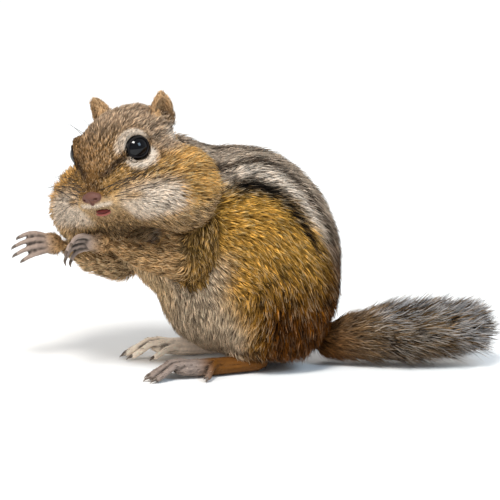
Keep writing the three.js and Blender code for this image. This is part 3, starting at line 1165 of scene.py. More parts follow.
@dataclass(frozen=True)
class Hair:
    """How one region's tufts are made, in millimetres and degrees.

    Attributes:
        count: How many tufts.
        length: Mean length.
        width: Half-width at the root.
        lift: Angle from the skin at the root.
        settle: Angle from the skin at the tip.
        ruffle: How far directions wander.
        lock: How many tufts lean together into one lock.
        gather: How closely a lock's tips meet, from 0 to 1.
        fleck: Share of tufts with pale tips.
        shade: Share of tufts with dark tips.
    """

    count: int
    length: float
    width: float
    lift: float
    settle: float
    ruffle: float
    lock: int
    gather: float
    fleck: float
    shade: float


HAIRS: dict[Region, Hair] = {
    Region.TRUNK: Hair(58400, 5.6, 0.155, 36, 9, 0.15, lock=5, gather=0.6, fleck=0.3, shade=0.25),
    Region.HEAD: Hair(42000, 3.0, 0.13, 30, 8, 0.12, lock=3, gather=0.5, fleck=0.4, shade=0.36),
    Region.ARMS: Hair(9500, 3.6, 0.14, 32, 9, 0.17, lock=4, gather=0.55, fleck=0.4, shade=0.3),
    Region.HANDS: Hair(5000, 2.2, 0.08, 22, 6, 0.12, lock=3, gather=0.3, fleck=0.4, shade=0.3),
    Region.FEET: Hair(5200, 1.6, 0.08, 16, 5, 0.1, lock=4, gather=0.3, fleck=0.3, shade=0.25),
    Region.EARS: Hair(4200, 1.7, 0.09, 24, 9, 0.14, lock=3, gather=0.3, fleck=0.4, shade=0.3),
    Region.TAIL: Hair(26000, 12.6, 0.18, 42, 22, 0.14, lock=8, gather=0.5, fleck=0.3, shade=0.25),
}


class Comb:
    """The lie of the coat, as directions that aren't yet laid on the skin."""

    NOSE = (19.0, 0, -9.0)
    """Where the head's hair parts, in the head's frame."""

    def __init__(self, layout: Layout, tail: TailSize) -> None:
        """Keeps the frames."""
        self.layout = layout
        self.tail = tail

    def at(self, region: Region, p: Array) -> Array:
        """Gives the lie of one region.

        Args:
            region: The region.
            p: Points in millimetres.

        Returns:
            Directions.
        """
        ways: dict[Region, Callable[[Array], Array]] = {
            Region.TRUNK: self._trunk,
            Region.HEAD: self._head,
            Region.ARMS: self._arms,
            Region.TAIL: self._tail,
        }
        if region in ways:
            return ways[region](p)
        up_ear = np.array([-0.3, 0, 1.0]) @ self.layout.head_axes.T
        return np.tile(up_ear if region is Region.EARS else [-1.0, 0.0, -0.15], (len(p), 1))

    def _trunk(self, p: Array) -> Array:
        """Gives the lie over the trunk: back from the neck, then down the flanks and rump.

        Args:
            p: Points.

        Returns:
            Directions.
        """
        arc = np.stack([p[:, 2] - 28, 0 * p[:, 0], -(p[:, 0] + 8)], 1)
        arc = unit(arc + [0.01, 0, 0])
        top = (ramp(36, 50, p[:, 2]) * ramp(20, 15.5, np.abs(p[:, 1])))[:, None]
        flow = top * arc + (1 - top) * unit(0.5 * arc + np.array([0.35, 0, -0.8]))
        front = ramp(-14, -24, p[:, 0])[:, None]
        flow = flow * (1 - front) + front * np.array([0.25, 0, -1.0])
        low = ramp(12, 4, p[:, 2])[:, None]
        return flow * (1 - low) + low * np.array([0.8, 0, -0.35])

    def _head(self, p: Array) -> Array:
        """Gives the lie over the head: back from the nose, fanning out over the cheeks.

        Args:
            p: Points.

        Returns:
            Directions.
        """
        h = self.layout.to_head(p)
        away = h - np.array(self.NOSE)
        away[:, 1] *= 0.8
        away = unit(away)
        droop = ramp(-6, -16, h[:, 2])[:, None] * np.array([0, 0, -0.35])
        crown = ramp(2, 9, h[:, 2])[:, None] * np.array([-0.5, 0, -0.1])
        return (away + droop + crown) @ self.layout.head_axes.T

    def _arms(self, p: Array) -> Array:
        """Gives the lie down each foreleg."""
        reach = ramp(-24, -32, p[:, 0])[:, None]
        return reach * np.array([-1.0, 0.1, 0.25]) + (1 - reach) * np.array([0.1, -0.2, -1.0])

    def _tail(self, p: Array) -> Array:
        """Gives the lie along the tail.

        Args:
            p: Points.

        Returns:
            Directions.
        """
        middle, along = self.tail.curve(np.linspace(0, 1, 60))
        near = np.argmin(((p[:, None, :] - middle[None]) ** 2).sum(2), axis=1)
        return along[near]


@dataclass
class Roots:
    """Where tufts start: places, normals and unwrapped places, one row a tuft."""

    place: Array
    normal: Array
    unwrap: Array


class Fur(Assembly):
    """Tufts of hair as joined meshes over the skin."""

    PIECE = 19500
    """Most tufts in one piece."""
    PATCH = 0.0013
    """Radius of a tuft's patch on the unwrap."""
    SINK = 0.25
    """How far below the skin a tuft starts."""
    CREAM = (0.86, 0.7, 0.5)
    """The linear colour that pale tips lean to."""
    BRIGHTEST = 0.92
    """Limit for the brightest of red, green and blue, which keeps pale tips from changing colour."""
    FACES = np.array(
        [[0, 2, 1], [0, 1, 4], [0, 4, 3], [1, 2, 5], [1, 5, 4], [2, 0, 3], [2, 3, 5]]
        + [[3, 4, 6], [4, 5, 6], [5, 3, 6]]
    )
    """A tuft's faces: two rings of three points and a tip."""

    def __init__(self, skin: Skin, comb: Comb, markings: Markings, seed: int = 7) -> None:
        """Reads the skin's faces.

        Args:
            skin: The skin.
            comb: The lie of the coat.
            markings: The coat's pattern.
            seed: Start of the random draws.
        """
        super().__init__(skin.layout)
        self.comb = comb
        self.markings = markings
        self.material = COAT.build()
        self.draw = np.random.default_rng(seed)
        mesh = skin.object.data
        corners = np.zeros(len(mesh.loops), int)
        mesh.loops.foreach_get("vertex_index", corners)
        starts, totals = np.zeros((2, len(mesh.polygons)), int)
        mesh.polygons.foreach_get("loop_start", starts)
        mesh.polygons.foreach_get("loop_total", totals)
        quads = starts[totals == 4][:, None] + np.arange(4)
        self.quads = corners[quads]
        uv = np.zeros(len(mesh.loops) * 2)
        mesh.uv_layers["OFBake"].data.foreach_get("uv", uv)
        self.quad_uv = uv.reshape(-1, 2)[quads]
        self.points = self.layout.from_scene(points_of(skin.object))
        self.normals = normals_of(skin.object)
        a, b, c, d = (self.points[self.quads[:, k]] for k in range(4))
        self.areas = np.linalg.norm(np.cross(c - a, d - b), axis=1) / 2
        self.quad_region = skin.region[self.quads[:, 0]]

    def _roots(self, region: Region, count: int) -> Roots:
        """Draws where a region's tufts start, closer together towards the nose.

        Args:
            region: The region.
            count: How many to draw.

        Returns:
            The roots that aren't on bare skin.
        """
        weight = self.areas * (self.quad_region == list(Region).index(region))
        if region is Region.HEAD:
            ahead = self.layout.to_head(self.points[self.quads].mean(1))[:, 0]
            weight = weight * (1 + 3.2 * ramp(-2, 13, ahead))
        chosen = self.draw.choice(len(weight), count, p=weight / weight.sum())
        s, t = self.draw.random((2, count, 1))
        weights = np.stack([(1 - s) * (1 - t), s * (1 - t), s * t, (1 - s) * t], 1)
        corners = self.quads[chosen]
        place = (self.points[corners] * weights).sum(1)
        normal = unit((self.normals[corners] * weights).sum(1))
        unwrap = (self.quad_uv[chosen] * weights).sum(1)
        keep = self._furred(region, place)
        return Roots(place[keep], normal[keep], unwrap[keep])

    def _furred(self, region: Region, p: Array) -> Array:
        """Leaves out roots on the eyes, the nose and the mouth, and under the animal.

        Args:
            region: The region.
            p: Roots.

        Returns:
            A mask of the roots to keep.
        """
        if region is Region.TRUNK:
            return p[:, 2] > 0.8
        if region is not Region.HEAD:
            return np.ones(len(p), bool)
        h = self.layout.to_head(p)
        ahead, above, out = self.layout.eye_view(h)
        eye = (np.hypot(ahead / 1.14, above) < 3.42) & (out > -1)
        nose = np.sqrt(((h[:, 0] - 17.2) / 3.0) ** 2 + (h[:, 1] / 3.1) ** 2 + ((h[:, 2] + 9.1) / 1.8) ** 2)
        mouth = np.sqrt(((h[:, 1] - 0.9) / 2.9) ** 2 + ((h[:, 2] + 14.1) / 1.15) ** 2)
        return ~eye & (nose > 1.0) & ((mouth > 1.0) | (h[:, 0] < 8))

    def _length(self, region: Region, p: Array) -> Array:
        """Scales the hair's length over a region.

        Args:
            region: The region.
            p: Roots.

        Returns:
            Factors.
        """
        scale = np.ones(len(p))
        far = p[:, 1] > 0
        if region is Region.HEAD:
            h = self.layout.to_head(p)
            scale *= 0.4 + 0.6 * ramp(15, 1, h[:, 0])
            scale *= 1 + 0.6 * ramp(9, 15, np.abs(h[:, 1])) * ramp(-3, -8, h[:, 2])
            ahead, above, out = self.layout.eye_view(h)
            scale *= 0.45 + 0.55 * ramp(4.0, 8, np.hypot(ahead, above) + 20 * (out < -3))
        elif region is Region.TRUNK:
            scale *= 0.75 + 0.3 * ramp(-16, 4, p[:, 0])
            scale *= 1 - 0.4 * ramp(9, 3, p[:, 2])
        elif region is Region.TAIL:
            scale *= 1 - ramp(33, 15, p[:, 0]) * (0.42 + 0.26 * ramp(-2, 2, self.comb.tail.over(p)))
            scale *= 1 - 0.1 * ramp(54, 60, p[:, 0])
        elif region is Region.ARMS:
            scale *= 1 - 0.4 * ramp(-38, -52, p[:, 0] + 8 * far)
        elif region is Region.HANDS:
            scale *= 1 - 0.75 * ramp(-51, -57, p[:, 0] + Markings.FAR_HAND * far)
        return scale

    def _locks(self, p: Array, tips: Array, size: int) -> tuple[Array, Array]:
        """Groups neighbouring tufts into locks.

        Args:
            p: Roots.
            tips: Where straight tufts would end.
            size: Tufts in a lock.

        Returns:
            The leading tuft's number for each tuft, and the way from each tip to its leader's tip.
        """
        leaders = self.draw.choice(len(p), max(1, len(p) // size), replace=False)
        tree = KDTree(len(leaders))
        for number, leader in enumerate(leaders):
            tree.insert(Vector(p[leader]), number)
        tree.balance()
        lead = leaders[np.array([tree.find(Vector(q))[1] for q in p])]
        return lead, tips[lead] - tips

    def grow(self, region: Region) -> None:
        """Grows one region's coat.

        Args:
            region: The region.
        """
        hair = HAIRS[region]
        roots = self._roots(region, hair.count)
        p, n = roots.place, roots.normal
        flow = unit(self.comb.at(region, p))
        flow = flow + hair.ruffle * self.draw.normal(size=p.shape)
        flow = flow + 1.2 * hair.ruffle * np.stack([wander(p, 9, 11 + k) for k in range(3)], 1)
        tangent = unit(flow - n * (flow * n).sum(1, keepdims=True))
        length = hair.length * self._length(region, p) * self.draw.uniform(0.65, 1.2, len(p))
        length *= 1 + 0.1 * wander(p, 6, 31)
        width = hair.width * self.draw.uniform(0.7, 1.3, len(p))
        width *= np.sqrt(np.clip(length / hair.length, 0.3, 1.2))
        lead, pull = self._locks(p, p + tangent * length[:, None], hair.lock)
        pull -= n * (pull * n).sum(1, keepdims=True)
        reach = np.linalg.norm(pull, axis=1, keepdims=True)
        pull *= np.minimum(1, 0.45 * length[:, None] / np.maximum(reach, 1e-6))
        pull *= (hair.gather * self.draw.uniform(0.6, 1.3, len(p)))[lead][:, None]
        lift = np.radians(hair.lift) * self.draw.uniform(0.6, 1.3, len(p))
        settle = np.radians(hair.settle) * self.draw.uniform(0.2, 1.8, len(p))
        settle += np.radians(0.35 * hair.lift) * np.maximum(self.draw.normal(size=len(p))[lead], 0) * 0.4
        colours = self.markings.of(region, p + n * COAT_DEPTH[region] + tangent * (length * 0.72)[:, None])
        shape = self._spikes(roots, tangent, pull, length, width, lift, settle)
        shades = self._shades(region, colours, p, lead)
        for start in range(0, len(p), self.PIECE):
            part = slice(start, start + self.PIECE)
            name = f"coat_{region.value}_{start // self.PIECE + 1}"
            self._piece(name, shape[part], shades[part], roots.unwrap[part], SLOTS[region])

    def _spikes(
        self, roots: Roots, t: Array, pull: Array, length: Array, width: Array, lift: Array, settle: Array
    ) -> Array:
        """Shapes tufts as bent three-sided spikes.

        Args:
            roots: Where the tufts start.
            t: Directions along the skin.
            pull: How far each tip moves towards its lock.
            length: Lengths.
            width: Half-widths.
            lift: Angles from the skin at the root, in radians.
            settle: Angles from the skin at the tip, in radians.

        Returns:
            Seven points a tuft.
        """
        n = roots.normal
        across = np.cross(n, t)
        bend = (self.draw.normal(size=len(t)) * 0.1)[:, None]
        root = roots.place - n * self.SINK
        first = t * np.cos(lift)[:, None] + n * np.sin(lift)[:, None] + across * bend
        last = t * np.cos(settle)[:, None] + n * np.sin(settle)[:, None] - across * bend
        middle = root + first * (0.5 * length)[:, None] + pull * 0.3
        tip = middle + last * (0.5 * length)[:, None] + pull * 0.7
        rows = []
        for place, direction, share in ((root, first, 1.0), (middle, unit(first + last), 0.85)):
            up = unit(np.cross(direction, across))
            half = (width * share)[:, None]
            rows += [place + across * half, place - across * half, place - up * half * 0.8]
        points = np.stack([*rows, tip], 1)
        points[:, :, 2] = np.maximum(points[:, :, 2], 0.1)
        return points

    def _shades(self, region: Region, colours: Array, p: Array, lead: Array) -> Array:
        """Shades each tuft from a dark root to its tip, the dark root being painted shade deep in the coat.

        Args:
            region: The region.
            colours: The pattern's colour for each tuft.
            p: Roots.
            lead: The leading tuft of each tuft's lock.

        Returns:
            Seven colours a tuft.
        """
        hair = HAIRS[region]
        own = self.draw.normal(size=len(p))
        of_lock = self.draw.normal(size=len(p))[lead]
        level = np.exp(0.3 * own + 0.34 * of_lock - 0.05)
        level *= np.exp(0.1 * wander(p, 5, 51))
        light = colours.mean(1)
        shared = self.draw.random(len(p))[lead]
        pick = np.where(self.draw.random(len(p)) < 0.45, self.draw.random(len(p)), shared)
        pale = (pick < hair.fleck)[:, None] * (ramp(0.02, 0.08, light) * ramp(0.5, 0.35, light))[:, None]
        dull = (pick > 1 - hair.shade)[:, None] * ramp(0.36, 0.2, light)[:, None]
        cream = 0.64 * np.array(self.CREAM) + 0.36 * np.minimum(colours * 2.5, 1)
        tip = colours * 1.3 + pale * 0.85 * np.maximum(cream - colours, 0)
        tip = tip * (1 - 0.86 * dull)
        middle = colours * (0.85 + 0.2 * pale - 0.6 * dull)
        # Dark roots: painted shade deep in the coat, less dark under pale fur.
        root = colours * (0.24 + 0.3 * ramp(0.3, 0.5, light))[:, None]
        if region is Region.TAIL:
            root, middle, tip = self._tail_bands(p, pick)
        rows = np.stack([root] * 3 + [middle] * 3 + [tip], 1) * level[:, None, None]
        return rows * np.minimum(1, self.BRIGHTEST / rows.max(2, keepdims=True))

    def _tail_bands(self, p: Array, pick: Array) -> tuple[Array, Array, Array]:
        """Colours the tail's banded hair: tan below, black above it, and frosted tips.

        Args:
            p: Roots.
            pick: A number from 0 to 1 for each tuft that sorts them into frosted, tan and black tips.

        Returns:
            Colours of roots, middles and tips.
        """
        dye = self.markings.dye
        out = ramp(17, 34, p[:, 0])
        base = mix(np.tile(dye.tan * 0.42, (len(p), 1)), dye.rust * 0.9, ramp(30, 13, p[:, 0]) * 0.9)
        fringe = ramp(0.5, 3.5, self.comb.tail.over(p)) * out
        middle = mix(base * 1.3, dye.black * 0.6, (pick < 0.8) * out)
        end = ramp(40, 54, p[:, 0])
        frost = mix(np.tile(dye.frost, (len(p), 1)), dye.cream, (1 - fringe) * (0.6 - 0.4 * end))
        tip = mix(base * 1.6, frost, (pick < 0.36 + 0.15 * fringe + 0.2 * end) * out)
        tip = mix(tip, dye.black * 0.6, (pick > 0.66 + 0.1 * end) * out)
        # The roots are darker as painted shade deep in the coat.
        return base * 0.6, middle, tip

    def _piece(self, name: str, shape: Array, shades: Array, unwrap: Array, slot: str) -> None:
        """Makes one mesh of many tufts.

        Args:
            name: The piece's name.
            shape: Seven points a tuft.
            shades: Seven colours a tuft.
            unwrap: Each root's place on the skin's unwrap.
            slot: The record's material slot.
        """
        count, corners = shape.shape[:2]
        faces = (np.arange(count)[:, None, None] * corners + self.FACES[None]).reshape(-1, 3)
        mesh = bpy.data.meshes.new(name)
        mesh.vertices.add(count * corners)
        mesh.vertices.foreach_set("co", self.layout.to_scene(shape.reshape(-1, 3)).astype(np.float32).ravel())
        mesh.loops.add(faces.size)
        mesh.loops.foreach_set("vertex_index", faces.ravel().astype(np.int32))
        mesh.polygons.add(len(faces))
        mesh.polygons.foreach_set("loop_start", (np.arange(len(faces)) * 3).astype(np.int32))
        mesh.update(calc_edges=True)
        around = np.linspace(0, 2 * np.pi, corners, endpoint=False)
        patch = self.PATCH * np.stack([np.cos(around), np.sin(around)], 1)
        uv = (unwrap[:, None] + patch[None]).reshape(-1, 2)[faces.ravel()]
        mesh.uv_layers.new(name="OFBake").data.foreach_set("uv", uv.astype(np.float32).ravel())
        made = bpy.data.objects.new(name, mesh)
        bpy.context.scene.collection.objects.link(made)
        paint(made, shades.reshape(-1, 3))
        self.finish(made, name, self.material, slot)


# Eyes, nose, mouth, whiskers and claws


@dataclass(frozen=True)
class EyeSize:
    """Sizes of an eye and its lids.

    Attributes:
        radius: The eyeball's radius.
        cornea: How far the clear front bulges.
        opening: Half the lids' opening, in degrees as seen from the eyeball's middle.
        wide: How much longer than tall the opening is, in degrees.
        lid: How far the lids stand out from the eyeball.
        clear: How far off the eyeball the lids' section starts.
        corner: How far the front corner is drawn out, in degrees.
        corner_at: Where the front corner is, in degrees round the eye's line.
        corner_width: How wide the corner is, in degrees.
        profile: The lids' section: degrees back from the edge, and heights as shares of lid.
    """

    radius: float = 4.4
    cornea: float = 0.14
    opening: float = 40.0
    wide: float = 3.5
    lid: float = 0.34
    clear: float = 0.08
    corner: float = 5.0
    corner_at: float = 344
    corner_width: float = 26
    profile: tuple = (
        (0, 0.02),
        (0.5, 0.75),
        (3, 1.0),
        (6, 0.7),
        (10, -0.2),
        (15, -2.0),
        (9, -1.8),
        (2, -0.9),
    )


class Eyes(Assembly):
    """Both eyes with their dark lid rims."""

    AROUND = 72
    """Sections in each lid rim."""

    def __init__(self, layout: Layout, size: EyeSize = EyeSize()) -> None:
        """Builds the eyes.

        Args:
            layout: The animal's frames.
            size: Sizes.
        """
        super().__init__(layout)
        self.size = size
        glass, rim = EYE_GLOSS.build(), LID_RIM.build()
        for side in Side:
            centre = np.array(layout.eye_at) * [1, side.out, 1]
            self._ball(side, centre, glass)
            self._lids(side, centre, rim)

    def _ball(self, side: Side, centre: Array, glass: bpy.types.Material) -> None:
        """Builds an eyeball with a slightly bulging front.

        Args:
            side: Which eye.
            centre: The eye's middle in the head's frame.
            glass: Its material.
        """
        size = self.size
        bpy.ops.mesh.primitive_uv_sphere_add(segments=64, ring_count=40, radius=size.radius)
        ball = bpy.context.active_object
        points = points_of(ball)
        line = self.layout.eye_axes(side.out)[2]
        off = np.degrees(np.arccos(np.clip(unit(points) @ line, -1, 1)))
        points = points * (1 + size.cornea / size.radius * bump(off, size.opening - 2))[:, None]
        set_points(ball, self.layout.head_to_scene(points + centre))
        self.finish(ball, f"eyeball_{side.word}", glass, EYE_SLOT)
        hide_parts(f"eye_{side.word}")

    def _lids(self, side: Side, centre: Array, rim: bpy.types.Material) -> None:
        """Builds the lids: a band that hugs the eyeball, with a rounded rim and a pointed front corner.

        Args:
            side: Which eye.
            centre: The eye's middle in the head's frame.
            rim: Their material.
        """
        size = self.size
        ahead, top, line = self.layout.eye_axes(side.out)
        bpy.ops.mesh.primitive_torus_add(
            major_segments=self.AROUND, minor_segments=len(size.profile), major_radius=1, minor_radius=0.2
        )
        lids = bpy.context.active_object
        rings = []
        angles = np.linspace(0, 2 * np.pi, self.AROUND, endpoint=False)
        away = np.degrees(np.abs(angles - np.radians(size.corner_at))) % 360
        edge = size.opening + size.wide * np.cos(2 * angles) + size.corner * bump(away, size.corner_width)
        around = np.cos(angles)[:, None] * ahead + np.sin(angles)[:, None] * top
        for further, raised in size.profile:
            half = np.radians(edge + further)
            reach = size.radius + size.clear + size.lid * raised
            rings.append((np.cos(half)[:, None] * line + np.sin(half)[:, None] * around) * reach)
        set_points(lids, self.layout.head_to_scene(np.stack(rings, 1).reshape(-1, 3) + centre))
        edit_mesh(lids, bpy.ops.mesh.normals_make_consistent, inside=False)
        self.finish(lids, f"lids_{side.word}", rim, PAW_SLOT)


@dataclass(frozen=True)
class NoseSize:
    """Sizes of the bare nose and the mouth, in the head's frame.

    Attributes:
        tip: The nose's foremost point.
        lumps: The forms that fuse into the nose pad: places next to the tip, and radii.
        voxel: The nose pad's mesh size.
        nostril: The left nostril, next to the tip.
        nostril_size: Its three radii.
        nostril_depth: How deep it is.
        groove: Half the width of the groove between the nostrils, and its depth.
        mouth: The mouth's middle, to the side and up.
        mouth_half: Half the mouth's width.
        lip: The lower lip's radius.
        far: Where lines towards the skin start, ahead of the head.
    """

    tip: tuple[float, float, float] = (17.2, -0.3, -8.9)
    lumps: tuple = (
        ((-1.3, 0, 0.3), (1.8, 2.5, 1.5)),
        ((-1.6, 1.85, -0.1), (1.6, 1.4, 1.3)),
        ((-1.6, -1.85, -0.1), (1.6, 1.4, 1.3)),
        ((-1.5, 0, -1.4), (1.35, 1.0, 1.2)),
    )
    voxel: float = 0.13
    nostril: tuple[float, float, float] = (-0.3, 2.0, -0.2)
    nostril_size: tuple[float, float, float] = (1.2, 0.75, 0.45)
    nostril_depth: float = 0.9
    groove: float = 0.35
    mouth: tuple[float, float] = (0.9, -14.0)
    mouth_half: float = 2.6
    lip: float = 0.45
    far: float = 40.0


class Muzzle(Assembly):
    """The bare nose pad, the lower lip and the open mouth."""

    def __init__(self, skin: Skin, size: NoseSize = NoseSize()) -> None:
        """Builds the muzzle's bare parts.

        Args:
            skin: The skin that they sit on.
            size: Sizes.
        """
        super().__init__(skin.layout)
        self.skin = skin
        self.size = size
        self._pad()
        self._mouth()

    def _lump(self, centre: Array, radii: Sequence[float]) -> bpy.types.Object:
        """Makes one rounded form.

        Args:
            centre: Its middle in the head's frame.
            radii: Its three radii.

        Returns:
            The form.
        """
        bpy.ops.mesh.primitive_uv_sphere_add(segments=32, ring_count=20, radius=1)
        lump = bpy.context.active_object
        set_points(lump, self.layout.head_to_scene(points_of(lump) * np.array(radii) + centre))
        return lump

    def _pad(self) -> None:
        """Builds the nose pad with its nostrils and the groove between them."""
        size = self.size
        tip = np.array(size.tip)
        pad = join([self._lump(tip + place, radii) for place, radii in size.lumps])
        recast(pad, size.voxel)
        h = self.layout.scene_to_head(points_of(pad))
        for side in Side:
            hole = tip + np.array(size.nostril) * [1, side.out, 1]
            near = np.linalg.norm((h - hole) / np.array(size.nostril_size), axis=1)
            h[:, 0] -= size.nostril_depth * ramp(1.0, 0.3, near)
        groove = bump(h[:, 1], size.groove) * ramp(tip[2] + 0.4, tip[2] - 0.6, h[:, 2])
        h[:, 0] -= size.groove * groove
        set_points(pad, self.layout.head_to_scene(h))
        self.finish(pad, "nose_pad", NOSE_SKIN.build(), PAW_SLOT)

    def _mouth(self) -> None:
        """Builds the mouth's dark inside and the lower lip along its edge."""
        size = self.size
        side, height = size.mouth
        inward = np.array([-1.0, 0, 0])
        place, _ = self.skin.meet(np.array([size.far, side, height]), inward)
        inside = self._lump(place + [-0.5, 0, 0.1], (1.6, size.mouth_half, 0.8))
        self.finish(inside, "mouth_inside", MOUTH_SKIN.build(), PAW_SLOT)
        shares = np.linspace(-1, 1, 25)
        rows = []
        for share in shares:
            at = np.array([size.far, side + size.mouth_half * share, height - 0.5 - 0.6 * (1 - share**2)])
            rows.append(self.skin.meet(at, inward)[0])
        path = np.array(rows)
        path[:, 0] = np.convolve(np.pad(path[:, 0], 3, "edge"), np.ones(7) / 7, "valid") + 0.6
        radii = size.lip * np.sqrt(np.clip(1 - np.abs(shares) ** 2.5, 0.02, 1))
        verts, faces = tube(path, radii, 10)
        lip = mesh_object("lower_lip", self.layout.head_to_scene(verts), faces)
        edit_mesh(lip, bpy.ops.mesh.normals_make_consistent, inside=False)
        self.finish(lip, "lower_lip", LIP_SKIN.build(), PAW_SLOT)


@dataclass(frozen=True)
class WhiskerSize:
    """Sizes of the whiskers.

    Attributes:
        rows: Rows on each side of the muzzle.
        each: Whiskers in a row.
        length: Length of the longest.
        radius: Radius at the root.
        thin: How much thinner the brow's and the cheek's are.
        brow: How many above each eye.
        cheek: How many on each cheek.
    """

    rows: int = 4
    each: int = 6
    length: float = 18.0
    radius: float = 0.115
    thin: float = 0.8
    brow: int = 3
    cheek: int = 4


class Whiskers(Assembly):
    """Fine dark whiskers on the muzzle, the cheeks and above the eyes."""

    def __init__(self, skin: Skin, size: WhiskerSize = WhiskerSize()) -> None:
        """Builds the whiskers.

        Args:
            skin: The skin that they grow on.
            size: Sizes.
        """
        super().__init__(skin.layout)
        self.skin = skin
        self.draw = np.random.default_rng(23)
        thin = size.radius * size.thin
        parts = []
        for side in Side:
            for row in range(size.rows):
                for k in range(size.each):
                    at = np.array([14.6 - 1.5 * k - 0.3 * row, 0, -7.2 - 1.35 * row + 0.25 * k])
                    long = size.length * (0.6 + 0.05 * k) * self.draw.uniform(0.8, 1.1)
                    parts.append(self._hair(at, side.out, 0.3, long, size.radius))
            for k in range(size.brow):
                at = np.array([3.4 - 1.4 * k, 0, 6.4 - 0.3 * k])
                parts.append(self._hair(at, side.out, 0.8, 8.0 + k, thin))
            for k in range(size.cheek):
                at = np.array([1.5 - 2.2 * k, 0, -8.5 - 0.9 * k])
                parts.append(self._hair(at, side.out, 0.25, 7.0 + k, thin))
        verts, faces = gather(parts)
        made = mesh_object("whiskers", self.layout.head_to_scene(verts), faces)
        self.finish(made, "whiskers", WHISKER_HAIR.build(), TAIL_SLOT)

    def _hair(self, at: Array, sign: int, rise: float, long: float, radius: float) -> Mesh:
        """Grows one whisker that sweeps back and away from the skin.

        Args:
            at: Its place ahead of and above the head's middle.
            sign: 1 for the left side, -1 for the right.
            rise: How steeply it leaves the skin.
            long: Its length.
            radius: Its radius at the root.

        Returns:
            Points and faces.
        """
        place, out = self.skin.meet(at + np.array([0, 40.0 * sign, 0]), np.array([0, -1.0 * sign, 0]))
        back = np.array([-0.75, 0.45 * sign, -0.2 + 0.35 * self.draw.normal() * 0.3])
        back = unit(back - out * (back @ out))
        aim = unit(back + rise * out)
        shares = np.linspace(0, 1, 9)[:, None]
        sag = (0.16 * back - np.array([0, 0, 0.14])) * self.draw.uniform(0.6, 1.3)
        path = place + aim * long * shares + sag * long * shares**2
        return tube(path, radius * (1 - 0.85 * shares[:, 0]), 5)


@dataclass(frozen=True)
class ClawSize:
    """Where the claws are, each in its paw's own frame, as the solids have them.

    Attributes:
        fingers: The four fingers' places across the palm, and their lengths.
        bends: Root, middle and tip of a finger's claw: shares of the length along the palm, and below it.
        toes: The five toes' roots and tips.
        steps: Root, middle and tip of a toe's claw: shares of the way from root to tip, and rises.
        radii: The claw's radius at those three places.
        palms: Each forepaw's origin and the way it points.
        palm_turn: Degrees that the palms are turned inwards.
        heel: Each hind foot's origin, ahead and out.
        splay: Degrees that the hind feet point outwards.
    """

    fingers: tuple = ((-2.7, 6.6), (-1.0, 8.2), (0.9, 8.0), (2.7, 6.4))
    bends: tuple = ((0.93, 0.52), (0.98, 0.72), (0.92, 0.93))
    toes: tuple = (
        ((21, 3.0, 2.6), (27.5, 6.0, 1.1)),
        ((24.5, 1.9, 3.2), (33.6, 3.4, 1.1)),
        ((25, 0.1, 3.4), (35.0, 0.2, 1.1)),
        ((24.5, -1.7, 3.2), (34.0, -2.6, 1.1)),
        ((15.5, -2.4, 3.2), (19.4, -6.9, 1.1)),
    )
    steps: tuple = ((1.0, 0.2), (1.13, 0.15), (1.24, -0.45))
    radii: tuple[float, float, float] = (0.55, 0.4, 0.08)
    palms: dict = field(
        default_factory=lambda: {
            Side.LEFT: ((-52, -11, 42.5), (-1, 0.25, 0)),
            Side.RIGHT: ((-62, 9, 38.5), (-1, -0.25, 0.1)),
        }
    )
    palm_turn: float = 55
    heel: tuple[float, float] = (-3.0, 11.0)
    splay: float = 6

    def hand(self) -> Array:
        """Gives a forepaw's claws.

        Returns:
            Three points a claw.
        """
        return np.array(
            [[(3 + n * o, s * (1 + 0.4 * o), -n * d) for o, d in self.bends] for s, n in self.fingers], float
        )

    def foot(self) -> Array:
        """Gives a hind foot's claws, three points each."""
        ends = np.array(self.toes, float)
        return np.array([[a + (b - a) * s + [0, 0, rise] for s, rise in self.steps] for a, b in ends])


class Claws(Assembly):
    """The dark horn claws of all four paws."""

    def __init__(self, layout: Layout, size: ClawSize = ClawSize()) -> None:
        """Builds the claws.

        Args:
            layout: The animal's frames.
            size: Sizes.
        """
        super().__init__(layout)
        self.size = size
        horn = CLAW_HORN.build()
        for side in Side:
            palm, reach = size.palms[side]
            ahead = unit(np.array(reach, float))
            across = unit(np.cross([0, 0, 1.0], ahead))
            axes = np.stack([ahead, across, np.cross(ahead, across)], 1)
            axes = axes @ turn_about("X", -size.palm_turn * side.value)
            fingers = size.hand() * [1, -side.value, 1]
            self._set(f"claws_hand_{side.word}", fingers @ axes.T + np.array(palm, float), horn)
            heel = np.array([size.heel[0], size.heel[1] * side.value, 0])
            toes = size.foot() * [1, side.value, 1]
            axes = turn_about("Z", 180 - size.splay * side.value)
            self._set(f"claws_foot_{side.word}", toes @ axes.T + heel, horn)

    def _set(self, name: str, joints: Array, horn: bpy.types.Material) -> None:
        """Builds one paw's claws.

        Args:
            name: The piece's name.
            joints: Root, middle and tip of each claw.
            horn: The claws' material.
        """
        shares = np.linspace(0, 1, 9)[:, None]
        radii = np.interp(shares[:, 0], [0, 0.5, 1], self.size.radii)
        parts = []
        for root, middle, tip in joints:
            pole = 2 * middle - (root + middle + tip) / 3
            curve = (1 - shares) ** 2 * root + 2 * shares * (1 - shares) * pole + shares**2 * tip
            parts.append(tube(curve, radii, 8))
        verts, faces = gather(parts)
        verts[:, 2] = np.maximum(verts[:, 2], 0.05)
        made = mesh_object(name, self.layout.to_scene(verts), faces)
        edit_mesh(made, bpy.ops.mesh.normals_make_consistent, inside=False)
        self.finish(made, name, horn, PAW_SLOT)


# The studio


